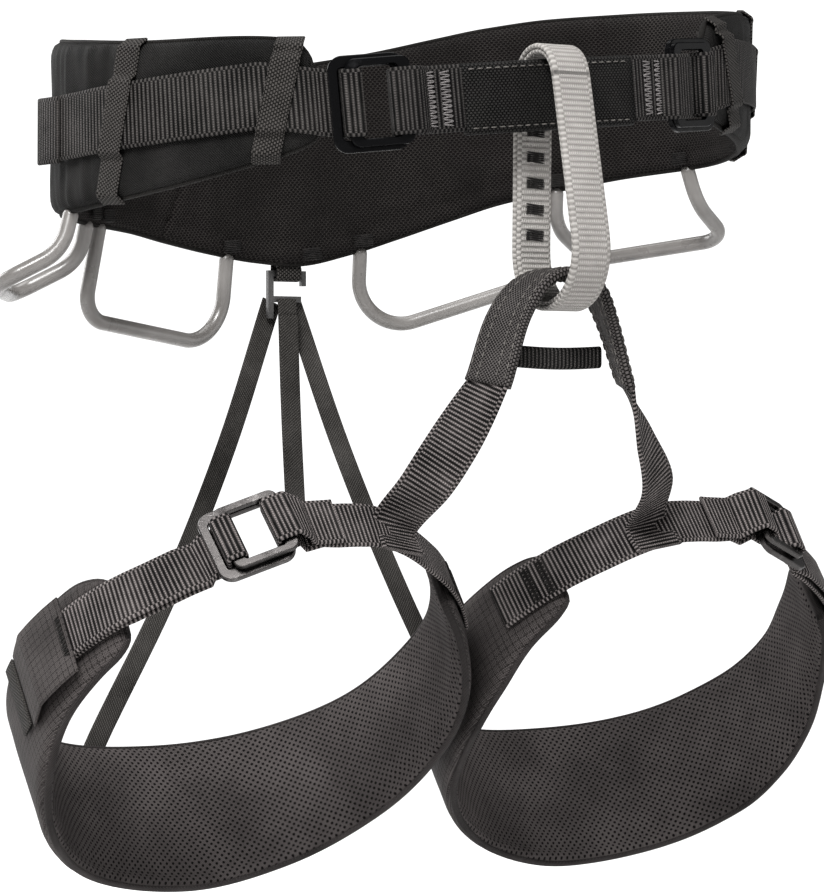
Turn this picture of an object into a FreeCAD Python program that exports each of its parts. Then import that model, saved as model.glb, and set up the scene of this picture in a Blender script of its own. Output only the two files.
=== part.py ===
"""Climbing harness: padded waist belt, belay loop, tie-in bridge, two padded leg loops and rear risers.

Frame: millimetres, +Z up, the wearer faces -Y and the wearer's left is +X. The origin is the middle of the
waist opening, on the centre line of the waist webbing. Every piece is written to parts/NODE.step.

Straps and pads are placed with tracks. A track is a line round the body with three directions at each point:
along it, across it (v, upwards) and out of it (n, away from the body). Most pieces are made for the wearer's
left side and mirrored; the belt sits a little higher on the wearer's left hip, so each side has its own track.
"""

import FreeCAD
import Part
import math
import os

from FreeCAD import Vector

# ---------------------------------------------------------------- driving dimensions, mm
WAIST_HALF_WIDTH = 142.5      # inner face of the belt, side to side
WAIST_HALF_DEPTH = 98.0       # inner face of the belt, front to back
WAIST_RISE = 0.10             # the belt rises this much per mm towards the wearer's left
BELT_LINING = (0.0, 1.0)      # layers, measured outwards from the inner face
BELT_FOAM = (1.1, 6.9)
BELT_LOAD_WEBBING = (7.0, 8.0)
BELT_SHELL = (8.1, 9.1)
BELT_RIM = 3.2                # the foam stops this far inside the belt's edges
WING_END_DEG = 37.0           # the belt padding stops this far from the front centre
# belt outline: degrees from the front centre, height of the lower edge, height of the upper edge
BELT_OUTLINE = [
    (37, -11, 19), (38.5, -13, 24), (41, -15, 26.5), (50, -19.5, 28.8), (66, -25, 30.5), (90, -29.5, 35),
    (114, -31, 38.5), (130, -34, 39.5), (142, -37.5, 38), (152, -43, 35), (162, -49, 31.5),
    (171, -54, 29), (180, -57, 27.5),
]
WAIST_WEBBING = 25.4
WEBBING_THICK = 1.6
WAIST_BUCKLE_DEG = 28.8
TAIL_END_DEG = 98.0
KEEPER_WIDTH = 11.0
KEEPER_DEG = {"front": (46.0, 40.0), "rear": (77.5, 70.0)}    # at its lower and its upper end

GEAR_TUBE = 6.2               # outer diameter of the moulded gear loops
GEAR_SEAT = 4.55              # their depth from the belt's inner face, midway between lining and shell
SIDE_GEAR_DEG = {"left": (97.5, 131.0), "right": (95.0, 127.5)}
REAR_GEAR_DEG = {"left": (136.0, 169.0), "right": (132.7, 165.3)}

BELAY_WIDTH = 16.5
BELAY_THICK = 4.0
BELAY_TOP = (-109.0, 3.0, 13.0)      # y, z and radius of the top bend, centre line
BELAY_BOTTOM = (-115.5, -61.5, 20.8)  # y, z and radius of the bottom bend

LEG_WEBBING = 20.0
LEG_LINING = (0.0, 1.0)
LEG_FOAM = (1.1, 6.4)
LEG_SHELL = (6.5, 7.4)
# line of the left leg loop, at the inner face, half way up the pad
LEG_LINE = [
    (60, -85, -170), (88, -85.5, -168.5), (116, -82.5, -172.5), (146, -66, -191), (164, -43, -208),
    (171, -18, -228), (163, 8, -248), (141, 30, -266), (110, 42, -275), (76, 43, -276),
    (43, 32, -268), (19, 11, -252), (9.5, -14, -232), (11, -40, -212), (26, -63, -192),
]
LEG_LEAN_DEG = 38.0           # the leg's axis leans back by this much
LEG_BUCKLE_STATION = 2        # index in LEG_LINE
LEG_PAD_START, LEG_PAD_END = 3.4, 14.15   # stations where the pad starts (outside) and ends (inside)
# pad outline: station, lower edge, upper edge, measured across the track
LEG_PAD_EDGES = [
    (3.4, -13, 12), (3.55, -16.5, 16.5), (3.9, -19, 20), (4.5, -23, 20), (5.1, -31, 17), (5.7, -38, 16),
    (6.4, -42, 18), (7.4, -42, 22), (8.6, -42, 25), (9.8, -39, 23), (11.0, -35, 19), (12.3, -32, 16),
    (13.0, -27, 15), (13.6, -19, 15), (14.0, -15.5, 13.5), (14.15, -12, 10.5),
]

BRIDGE_TOP = (0, -115, -69.6)
BRIDGE_END = (31, -113, -112)         # where the sleeve ends on the left
BRIDGE_WEBBING = 20.0
SLEEVE_WIDTH = 21.5

HOOK_DROP = 11.0              # from the hook's pivot to its lower bar
RISER_WIDTH = 9.0
RISER_THICK = 1.0
RISER_SAG = 5.0               # each riser bows this far towards the middle
RISER_FOOT_STATIONS = {"left": 9.2, "right": 8.0}   # where each riser is sewn to its leg loop

PARTS = {}


# ---------------------------------------------------------------- small vector helpers
def unit(v):
    return Vector(v).multiply(1.0 / v.Length)


def catmull(p0, p1, p2, p3, t):
    """Point between p1 and p2 on a smooth curve through all four."""
    a = p1 * 2
    b = (p2 - p0) * t
    c = (p0 * 2 - p1 * 5 + p2 * 4 - p3) * (t * t)
    d = (p1 * 3 - p0 - p2 * 3 + p3) * (t * t * t)
    return (a + b + c + d) * 0.5


def smooth_table(rows, x):
    """Value of a table of (x, values...) at x, smooth and never beyond its neighbouring rows."""
    last = len(rows) - 1
    x = min(rows[last][0], max(rows[0][0], x))
    i = next(k for k in range(last) if x <= rows[k + 1][0])
    t = (x - rows[i][0]) / (rows[i + 1][0] - rows[i][0])
    out = []
    for k in range(1, len(rows[0])):
        def slope(j):
            if j <= 0 or j >= last:
                return 0.0
            before = (rows[j][k] - rows[j - 1][k]) / (rows[j][0] - rows[j - 1][0])
            after = (rows[j + 1][k] - rows[j][k]) / (rows[j + 1][0] - rows[j][0])
            return 0.0 if before * after <= 0 else 2 * before * after / (before + after)

        span = rows[i + 1][0] - rows[i][0]
        a, b = rows[i][k], rows[i + 1][k]
        ma, mb = slope(i) * span, slope(i + 1) * span
        out.append(a + ma * t + (3 * (b - a) - 2 * ma - mb) * t * t + (2 * (a - b) + ma + mb) * t**3)
    return out


def in_frame(shape, origin, u, v, n):
    """Moves a shape drawn in local u, v, n axes to a place in the part."""
    m = FreeCAD.Matrix(
        u.x, v.x, n.x, origin.x, u.y, v.y, n.y, origin.y, u.z, v.z, n.z, origin.z, 0, 0, 0, 1
    )
    return shape.transformGeometry(m) if m.determinant() < 0 else shape.transformed(m)


def mirrored(shape):
    return shape.mirror(Vector(0, 0, 0), Vector(1, 0, 0))


def keep(name, side, shape):
    """Files a piece made for the wearer's left side, mirrored when it belongs on the right."""
    PARTS[f"{name}_{side}"] = mirrored(shape) if side == "right" else shape


# ---------------------------------------------------------------- tracks
class Track:
    """A line with directions: along (t), across (w) and out (n). Lengths along it are in mm."""

    def __init__(self, points, up, closed=False, flats=()):
        self.points = points
        self.closed = closed
        self.ups = up if isinstance(up, list) else [up] * len(points)
        self.lengths = [0.0]
        for a, b in zip(points, points[1:]):
            self.lengths.append(self.lengths[-1] + (b - a).Length)
        self.total = self.lengths[-1]
        self.flats = flats

    def raw(self, s):
        """Point, t, w and n at length s, before flat stretches."""
        if self.closed:
            s %= self.total
        last = len(self.points) - 1
        lo, hi = 0, last
        while hi - lo > 1:
            mid = (lo + hi) // 2
            lo, hi = (mid, hi) if self.lengths[mid] <= s else (lo, mid)
        span = self.lengths[hi] - self.lengths[lo]
        f = (s - self.lengths[lo]) / span
        point = self.points[lo] + (self.points[hi] - self.points[lo]) * f

        def direction(k):
            if self.closed:
                return unit(self.points[(k + 1) % last] - self.points[(k - 1) % last])
            return unit(self.points[min(last, k + 1)] - self.points[max(0, k - 1)])

        t = unit(direction(lo) * (1 - f) + direction(hi) * f)
        up = self.ups[lo] * (1 - f) + self.ups[hi] * f
        w = unit(up - t * up.dot(t))
        return point, t, w, t.cross(w)

    def at(self, s):
        for centre, half in self.flats:
            if abs(s - centre) < half:
                p, t, w, n = self.raw(centre)
                return p + t * (s - centre), t, w, n
        return self.raw(s)

    def put(self, s, v, n):
        p, _, w, out = self.at(s)
        return p + w * v + out * n


def thick_sides(path, thick):
    """The two sides of a strip of this thickness along a path of (s, n) pairs."""
    left, right = [], []
    last = len(path) - 1
    for i, (x, y) in enumerate(path):
        ax, ay = path[max(0, i - 1)]
        bx, by = path[min(last, i + 1)]
        length = math.hypot(bx - ax, by - ay)
        nx, ny = -(by - ay) / length, (bx - ax) / length
        left.append((x + nx * thick / 2, y + ny * thick / 2))
        right.append((x - nx * thick / 2, y - ny * thick / 2))
    return left, right


def rounded(points, radius):
    """A path of (s, n) pairs with every inner corner rounded by up to that radius."""
    out = [points[0]]
    for (ax, ay), (bx, by), (cx, cy) in zip(points, points[1:], points[2:]):
        la, lc = math.hypot(ax - bx, ay - by), math.hypot(cx - bx, cy - by)
        ua, uc = ((ax - bx) / la, (ay - by) / la), ((cx - bx) / lc, (cy - by) / lc)
        half = math.acos(max(-1.0, min(1.0, ua[0] * uc[0] + ua[1] * uc[1]))) / 2
        turn = math.pi - 2 * half
        if turn < math.radians(4):
            out.append((bx, by))
            continue
        cut = min(radius / math.tan(half), 0.49 * la, 0.49 * lc)
        r = cut * math.tan(half)
        mx, my = ua[0] + uc[0], ua[1] + uc[1]
        ml = math.hypot(mx, my)
        ox, oy = bx + mx / ml * r / math.sin(half), by + my / ml * r / math.sin(half)
        start = math.atan2(by + ua[1] * cut - oy, bx + ua[0] * cut - ox)
        end = math.atan2(by + uc[1] * cut - oy, bx + uc[0] * cut - ox)
        sweep = (end - start + math.pi) % (2 * math.pi) - math.pi
        steps = max(2, int(math.degrees(turn) / 22))
        for k in range(steps + 1):
            a = start + sweep * k / steps
            out.append((ox + r * math.cos(a), oy + r * math.sin(a)))
    out.append(points[-1])
    return out


def quad_loft(sections, smooth=False):
    """A solid through four-cornered sections."""
    wires = [Part.makePolygon([*corners, corners[0]]) for corners in sections]
    return Part.makeLoft(wires, True, not smooth)


def strap(track, path, width, thick=WEBBING_THICK, v=0.0):
    """Webbing whose edge-on path on the track is a list of (s, n) pairs, at height v or a list of heights."""
    left, right = thick_sides(path, thick)
    heights = v if isinstance(v, list) else [v] * len(path)
    sections = []
    for (ls, ln), (rs, rn), (s, _), height in zip(left, right, path, heights):
        across = track.at(s)[2]
        lo, hi = across * (height - width / 2), across * (height + width / 2)
        a, b = track.put(ls, 0, ln), track.put(rs, 0, rn)
        sections.append([a + lo, a + hi, b + hi, b + lo])
    return quad_loft(sections)


def steps(start, end, count):
    return [start + (end - start) * k / count for k in range(count + 1)]


def round_rect(u0, u1, v0, v1, radius, depth):
    """A plate with rounded corners, in local axes, from n = 0 to n = depth."""
    box = Part.makeBox(u1 - u0, v1 - v0, depth, Vector(u0, v0, 0))
    upright = [e for e in box.Edges if abs(e.tangentAt(e.FirstParameter).z) > 0.9]
    return box.makeFillet(radius, upright)


def plate(track, s, base, thick, outer, window, radius):
    """A flat buckle plate with one window. outer and window are (u0, u1, half height)."""
    body = round_rect(outer[0], outer[1], -outer[2], outer[2], radius, thick)
    hole = round_rect(window[0], window[1], -window[2], window[2], 1.5, thick + 2)
    hole.translate(Vector(0, 0, -1))
    body = body.cut(hole)
    rims = [e for e in body.Edges if e.BoundBox.ZLength < 1e-6 and e.Length > 3]
    body = body.makeChamfer(0.35, rims)
    p, t, w, n = track.at(s)
    return in_frame(body, p + n * base, t, w, n)


def tube(points, radii, diameter):
    """A round bar along straight runs joined by tangent arcs."""
    edges = []
    here = points[0]
    for a, b, c, r in zip(points, points[1:], points[2:], radii):
        ua, uc = unit(a - b), unit(c - b)
        half = ua.getAngle(uc) / 2
        cut = r / math.tan(half)
        start, end = b + ua * cut, b + uc * cut
        middle = b + unit(ua + uc) * (r / math.sin(half) - r)
        edges.append(Part.LineSegment(here, start).toShape())
        edges.append(Part.Arc(start, middle, end).toShape())
        here = end
    edges.append(Part.LineSegment(here, points[-1]).toShape())
    wire = Part.Wire(edges)
    profile = Part.Wire(Part.makeCircle(diameter / 2, points[0], unit(points[1] - points[0])))
    solid = wire.makePipeShell([profile], True, True)
    expected = wire.Length * math.pi * diameter**2 / 4
    print(f"tube: length {wire.Length:.1f} mm, volume over length times section {solid.Volume / expected:.4f}")
    return solid


# ---------------------------------------------------------------- the waist belt
def waist_track(rise):
    """The belt's inner face, from the back round the wearer's right, the front (s = 0) and the left."""
    points = []
    for deg in range(-180, 181, 2):
        a = math.radians(deg)
        x = WAIST_HALF_WIDTH * math.sin(a)
        points.append(Vector(x, -WAIST_HALF_DEPTH * math.cos(a), rise * x))
    return Track(points, Vector(0, 0, 1))


# WAIST is the real track. RIGHT_AS_LEFT is the wearer's right side seen in a mirror, for pieces made as left ones.
WAIST = waist_track(WAIST_RISE)
RIGHT_AS_LEFT = waist_track(-WAIST_RISE)


def waist_s(deg):
    """Length along the waist track at an angle from the front centre, positive to the wearer's left."""
    place = (deg + 180) / 2
    i = min(int(place), len(WAIST.points) - 2)
    return WAIST.lengths[i] + (WAIST.lengths[i + 1] - WAIST.lengths[i]) * (place - i)


BUCKLE_S = waist_s(WAIST_BUCKLE_DEG)
for one in (WAIST, RIGHT_AS_LEFT):
    one.flats = ((BUCKLE_S, 18.0), (waist_s(-WAIST_BUCKLE_DEG), 18.0))


def belt_edges(deg):
    return smooth_table(BELT_OUTLINE, min(abs(deg), 360 - abs(deg)))


def belt_layer(layer, margin=0.0):
    """One layer of the padded belt, from one wing end round the back to the other."""
    stops = steps(WING_END_DEG + margin / 2.4, 180, 28)
    sections = []
    for deg in stops + [360 - d for d in reversed(stops[:-1])]:
        lo, hi = belt_edges(deg)
        s = waist_s(deg if deg <= 180 else deg - 360)
        sections.append(
            [WAIST.put(s, lo + margin, layer[0]), WAIST.put(s, hi - margin, layer[0]),
             WAIST.put(s, hi - margin, layer[1]), WAIST.put(s, lo + margin, layer[1])]
        )
    return quad_loft(sections, smooth=True)


def buckle_paths(gap, base, lead_n, tail_n, reach):
    """Edge-on paths in a buckle whose frame plate starts at n = base: the adjuster webbing and the fixed loop.

    u runs towards the padded side. gap moves the two webbing turns apart."""
    under = base - 1.2
    lead_under = base - 3.1
    top = base + 6.8
    adjuster = [
        (reach, lead_n), (19.0, lead_under), (10.0, lead_under + 0.2), (3.9 + gap, base + 0.4),
        (3.9 + gap, top), (10.75 + gap, top), (10.75 + gap, under), (19.0 + gap, under), (26.0 + gap, tail_n),
    ]
    fixed = [
        (-34.0, base + 3.0), (-21.0, base + 3.0), (-17.6, top + 0.5), (-9.4 - gap, top + 0.5),
        (-9.4 - gap, under), (-19.0, under), (-25.0, base + 1.2),
    ]
    return adjuster, fixed


def shifted(path, s):
    return [(s + u, n) for u, n in path]


def buckle_plates(name, side, track, s, base, width, gap):
    """The frame plate below and the slider plate above it."""
    half = width / 2
    outer = (-14.6, 15.6 + gap, half + 5.6)
    window = (-10.4 - gap, 12.0 + gap, half + 0.9)
    frame = plate(track, s, base, 2.4, outer, window, 5.5)
    slider = plate(
        track, s, base + 3.5, 2.2,
        (-16.0, 9.4 + gap, half + 3.9), (-11.6 - gap / 2, 5.0 + gap, half + 0.9), 3.6
    )
    keep(name + "_frame", side, frame)
    keep(name + "_slider", side, slider)


# height of the waist buckles' frame plates above the belt's inner face
WAIST_BASE = 9.4
# height of the waist webbing's tail above the belt's centre line, near the buckle and at its free end
TAIL_RISE = (6.0, 1.0)


def tail_height(s):
    """How far up the belt the middle of the waist webbing's tail lies at distance s."""
    a, b = waist_s(45), waist_s(TAIL_END_DEG)
    f = min(1.0, max(0.0, (s - a) / (b - a)))
    return TAIL_RISE[0] + (TAIL_RISE[1] - TAIL_RISE[0]) * f


def make_belt():
    PARTS["belt_mesh_lining"] = belt_layer(BELT_LINING)
    PARTS["belt_foam_core"] = belt_layer(BELT_FOAM, BELT_RIM)
    PARTS["belt_outer_shell"] = belt_layer(BELT_SHELL)

    # load-bearing webbing inside the belt, between the foam and the shell
    thick = BELT_LOAD_WEBBING[1] - BELT_LOAD_WEBBING[0] - 0.1
    sections = []
    for deg in steps(43, 317, 56):
        s = waist_s(deg if deg <= 180 else deg - 360)
        n = BELT_LOAD_WEBBING[0]
        sections.append([WAIST.put(s, -11.5, n), WAIST.put(s, 11.5, n), WAIST.put(s, 11.5, n + thick),
                         WAIST.put(s, -11.5, n + thick)])
    PARTS["belt_load_webbing"] = quad_loft(sections, smooth=True)

    # the front strap is one piece with a sewn loop round each buckle bar
    fixed = buckle_paths(-1.0, WAIST_BASE, 0, 0, 0)[1]
    half = [(BUCKLE_S + u, n) for u, n in rounded(fixed, 1.9)]
    other = [(waist_s(-WAIST_BUCKLE_DEG) - u, n) for u, n in rounded(fixed, 1.9)]
    middle = [(waist_s(d), WAIST_BASE + 1.2) for d in steps(14, -14, 12)]
    PARTS["front_strap_webbing"] = strap(WAIST, half + middle + other[::-1], WAIST_WEBBING, v=-0.6)
    for name, n in (("tie_in_sleeve_front", WAIST_BASE + 2.9), ("tie_in_sleeve_back", WAIST_BASE - 0.4)):
        PARTS[name] = strap(WAIST, [(waist_s(d), n) for d in steps(-14.5, 14.5, 10)], 27.0, 1.2, v=-1.3)


def make_waist_side(side):
    """Buckle, adjuster webbing with its tail, keepers and gear loops of one side."""
    track = WAIST if side == "left" else RIGHT_AS_LEFT
    shell = BELT_SHELL[1]
    adjuster = buckle_paths(-1.0, WAIST_BASE, 7.4, shell + 1.3, 25.0)[0]
    path = shifted(rounded(adjuster, 1.9), BUCKLE_S)
    path += [(waist_s(d), shell + 1.3) for d in steps(42, TAIL_END_DEG - 12, 11)]
    path.append((waist_s(TAIL_END_DEG), shell + 4.5))
    heights = [min(1.0, max(0.0, (s - BUCKLE_S - 8) / 30)) * tail_height(s) for s, _ in path]
    keep("waist_adjuster_webbing", side, strap(track, path, WAIST_WEBBING, v=heights))
    end = waist_s(TAIL_END_DEG)
    fold = [(end - 13, shell + 3.4), (end - 0.5, shell + 6.6)]
    keep("waist_tail_end", side, strap(track, fold, WAIST_WEBBING + 1, v=TAIL_RISE[1]))
    buckle_plates("waist_buckle", side, track, BUCKLE_S, WAIST_BASE, WAIST_WEBBING, -1.0)

    # two sloping keepers hold the tail against the shell
    keep("tail_keeper_front", side, keeper(track, *KEEPER_DEG["front"]))
    keep("tail_keeper_rear", side, keeper(track, *KEEPER_DEG["rear"]))
    keep("side_gear_loop", side, gear_loop(track, SIDE_GEAR_DEG[side], "side_gear_loop_" + side))
    keep("rear_gear_loop", side, gear_loop(track, REAR_GEAR_DEG[side], "rear_gear_loop_" + side))


def keeper(track, low_deg, high_deg):
    """A sloping elastic band over the tail, sewn to the shell above and below it."""
    shell = BELT_SHELL[1] + 0.6
    over = BELT_SHELL[1] + 2.7
    lo, hi = belt_edges(low_deg)[0] + 1.0, belt_edges(high_deg)[1] - 1.0
    rise = tail_height(waist_s((low_deg + high_deg) / 2))
    bottom, top = rise - WAIST_WEBBING / 2, rise + WAIST_WEBBING / 2
    rows = [
        (lo, shell), (bottom - 3, shell), (bottom - 0.6, over),
        (top + 0.6, over), (top + 3, shell), (hi, shell),
    ]
    rows = [(v, n) for i, (v, n) in enumerate(rows) if i == 0 or v > rows[i - 1][0] + 0.2]
    sections = []
    for v, out in rows:
        s = waist_s(low_deg + (high_deg - low_deg) * (v - lo) / (hi - lo))
        middle, along, _, n = track.at(s)
        middle = middle + track.at(s)[2] * v + n * out
        a, b = along * (KEEPER_WIDTH / 2), n * 0.5
        sections.append([middle - a - b, middle + a - b, middle + a + b, middle - a + b])
    return quad_loft(sections)


PIVOTS = {}


def gear_loop(track, degs, name):
    """A moulded loop whose round ends sit between the belt's lining and shell, 1.6 mm below their edge.

    Side loops flare outwards, rear loops hang down."""
    ends = [track.put(waist_s(deg), belt_edges(deg)[0] - 1.6, GEAR_SEAT) for deg in degs]
    chord = unit(ends[1] - ends[0])
    out = unit(Vector(chord.y, -chord.x, 0))
    down = Vector(0, 0, -1)
    if name.startswith("side"):
        knees = [e + down * 14 + out * 3 + chord * k for e, k in zip(ends, (-3, 2))]
        corners = [e + down * 28 + out * 30 + chord * k for e, k in zip(ends, (-5, -2))]
        points = [ends[0], knees[0], corners[0], corners[1], knees[1], ends[1]]
        radii = [18, 11, 11, 18]
    else:
        corners = [ends[0] + down * 37 + out * 5 - chord * 4, ends[1] + down * 37 + out * 5 + chord * 1]
        points = [ends[0], corners[0], corners[1], ends[1]]
        radii = [12, 19]
    PIVOTS[name] = ((ends[0] + ends[1]) * 0.5, chord)
    body = tube(points, radii, GEAR_TUBE)
    for end in ends:
        body = body.fuse(Part.makeSphere(GEAR_TUBE / 2, end))
    return body.removeSplitter()


def make_back():
    """Riser tab, riser hook and haul loop, all at the back centre."""
    back = WAIST_HALF_DEPTH
    shell = back + BELT_SHELL[1]
    low = belt_edges(180)[0]
    PARTS["riser_tab"] = Part.makeBox(12, 1.2, 22, Vector(-6, shell + 0.1, low - 2.0))
    axis = Vector(-6, shell - 1.0, low - 3.9)
    PARTS["riser_tab_loop"] = Part.makeCylinder(3.4, 12, axis, Vector(1, 0, 0)).cut(
        Part.makeCylinder(2.3, 12, axis, Vector(1, 0, 0))
    )
    PIVOTS["riser_hook"] = (Vector(0, axis.y, axis.z), Vector(1, 0, 0))

    # the hook: a spine, a top bar with a curled end, and a lower bar that carries the risers
    y, z, thick = axis.y - 1.1, axis.z, 2.2
    spine = Part.makeBox(2.6, thick, 20.7, Vector(-9.2, y, z - 19.4))
    top = Part.makeBox(18.4, thick, 2.6, Vector(-9.2, y, z - 1.3))
    curl = Part.makeBox(2.2, thick, 6.5, Vector(7.0, y, z - 5.2))
    lower = Part.makeBox(16.0, thick, 2.6, Vector(-9.2, y, z - HOOK_DROP - 1.3))
    PARTS["riser_hook"] = spine.fuse([top, curl, lower]).removeSplitter()

    # the haul loop hangs from a pocket on the outside of the belt
    pocket_top = 8.0
    lining = Part.makeBox(38, 1.2, 18, Vector(-19, shell + 0.3, pocket_top - 17))
    cover = Part.makeBox(38, 1.2, 13, Vector(-19, shell + 5.9, pocket_top - 10.3))
    cap = Part.makeBox(38, 6.8, 1.2, Vector(-19, shell + 0.3, pocket_top))
    PARTS["haul_loop_pocket"] = lining.fuse([cover, cap]).removeSplitter()
    y, z = shell + 3.7, pocket_top - 12.0
    points = [
        Vector(-12, y, z), Vector(-12.5, y + 2.5, z - 34),
        Vector(12.5, y + 2.5, z - 34), Vector(12, y, z),
    ]
    loop = tube(points, [12.3, 12.3], 3.6)
    for x in (-12, 12):
        loop = loop.fuse(Part.makeSphere(1.8, Vector(x, y, z)))
    PARTS["haul_loop"] = loop.removeSplitter()
    PIVOTS["haul_loop"] = (Vector(0, y, z), Vector(1, 0, 0))


# ---------------------------------------------------------------- belay loop and tie-in bridge
def belay_track():
    """A closed loop in the y-z plane round two bends of different radius, starting at the front tangent."""
    (y1, z1, r1), (y2, z2, r2) = BELAY_TOP, BELAY_BOTTOM
    gap = math.hypot(y2 - y1, z2 - z1)
    lean = math.atan2(y2 - y1, z1 - z2)
    wrap = math.asin((r2 - r1) / gap)
    points = []

    def arc(y, z, r, start, sweep):
        for k in range(17):
            a = start + sweep * k / 16
            points.append(Vector(0, y - r * math.cos(a), z + r * math.sin(a)))

    arc(y1, z1, r1, wrap - lean, math.pi - 2 * wrap)
    arc(y2, z2, r2, math.pi - wrap - lean, math.pi + 2 * wrap)
    points.append(points[0])
    return Track(points, Vector(1, 0, 0), closed=True)


def make_belay_loop():
    track = belay_track()
    count = 64
    half = BELAY_THICK / 2
    w = BELAY_WIDTH / 2
    halves = []
    for start in (0, count // 2):
        sections = []
        for k in range(start, start + count // 2 + 1):
            s = track.total * k / count
            sections.append([track.put(s, -w, -half), track.put(s, w, -half), track.put(s, w, half),
                             track.put(s, -w, half)])
        halves.append(quad_loft(sections))
    PARTS["belay_loop"] = halves[0].fuse(halves[1]).removeSplitter()

    # five bar tacks on the inner side of the rear strand
    p, _, _, n = track.at(0)
    middle = Vector(0, BELAY_BOTTOM[0], (BELAY_TOP[1] + BELAY_BOTTOM[1]) / 2)
    inward = 1 if (middle - p).dot(n) > 0 else -1
    tacks = []
    for k in range(5):
        p, t, across, n = track.at(track.total * (0.235 + 0.042 * k))
        tack = Part.makeBox(9.0, 3.2, 0.5, Vector(-4.5, -1.6, 0))
        tacks.append(in_frame(tack, p + n * inward * (half + (0.05 if inward > 0 else 0.55)), across, t, n))
    PARTS["belay_loop_bartacks"] = Part.makeCompound(tacks)
    PIVOTS["belay_loop"] = (Vector(0, BELAY_TOP[0], 12.0), Vector(1, 0, 0))


def bridge_track():
    """The sleeve's arch, from the left end over the top to the right end."""
    x, y, z = BRIDGE_END
    _, ty, tz = BRIDGE_TOP
    points, ups = [], []
    knots = [
        Vector(x + 7, y + 2, z - 12), Vector(x, y, z), Vector(x - 8.5, y, z + 24), Vector(x - 18, ty, tz - 4.5),
        Vector(0, ty, tz), Vector(-x + 18, ty, tz - 4.5), Vector(-x + 8.5, y, z + 24), Vector(-x, y, z),
        Vector(-x - 7, y + 2, z - 12),
    ]
    for i in range(1, len(knots) - 2):
        for k in range(6):
            points.append(catmull(knots[i - 1], knots[i], knots[i + 1], knots[i + 2], k / 6))
    points.append(knots[-2])
    for p in points:
        ups.append(Vector(p.x / x * 0.45, 1, 0))
    return Track(points, ups)


def layer_strap(track, s0, s1, count, width, thick, n):
    return strap(track, [(s, n) for s in steps(s0, s1, count)], width, thick)


def make_bridge():
    track = bridge_track()
    PARTS["bridge_webbing"] = layer_strap(track, 0.5, track.total - 0.5, 24, BRIDGE_WEBBING, 1.8, 0)
    PARTS["bridge_sleeve_outer"] = layer_strap(track, 0, track.total, 24, SLEEVE_WIDTH, 1.0, -1.6)
    PARTS["bridge_sleeve_inner"] = layer_strap(track, 0, track.total, 24, SLEEVE_WIDTH, 1.0, 1.6)
    y = BRIDGE_END[1]
    bar = Part.makeBox(38, 3.0, 8.5, Vector(-19, y - 1.5, BRIDGE_END[2] + 6.5))
    PARTS["bridge_spacer"] = bar.makeFillet(1.4, [e for e in bar.Edges if e.BoundBox.XLength > 30])
    PIVOTS["leg"] = (Vector(0, y, BRIDGE_END[2]), Vector(1, 0, 0))


# ---------------------------------------------------------------- leg loops
def leg_track():
    knots = [Vector(*p) for p in LEG_LINE]
    count = len(knots)
    points = []
    fine = 12
    for i in range(count):
        p0, p1, p2, p3 = (knots[(i + j) % count] for j in (-1, 0, 1, 2))
        for k in range(fine):
            points.append(catmull(p0, p1, p2, p3, k / fine))
    points.append(points[0])
    lean = math.radians(LEG_LEAN_DEG)
    track = Track(points, Vector(0, math.sin(lean), math.cos(lean)), closed=True)
    track.stations = [track.lengths[i * fine] for i in range(count)] + [track.total]
    track.flats = ((track.stations[LEG_BUCKLE_STATION], 18.0),)
    return track


LEG = leg_track()


def leg_s(station):
    """Length along the leg track at a station number, which may lie between two."""
    i = int(station)
    return LEG.stations[i] + (LEG.stations[i + 1] - LEG.stations[i]) * (station - i)


def leg_edges(station):
    return smooth_table(LEG_PAD_EDGES, station)


def leg_layer(layer, margin=0.0):
    """One layer of the padded part of the left leg loop."""
    sections = []
    for station in steps(LEG_PAD_START + margin / 30, LEG_PAD_END - margin / 30, 44):
        lo, hi = leg_edges(station)
        s = leg_s(station)
        sections.append(
            [LEG.put(s, lo + margin, layer[0]), LEG.put(s, hi - margin, layer[0]),
             LEG.put(s, hi - margin, layer[1]), LEG.put(s, lo + margin, layer[1])]
        )
    return quad_loft(sections, smooth=True)


LEG_BASE = 5.0


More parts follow.
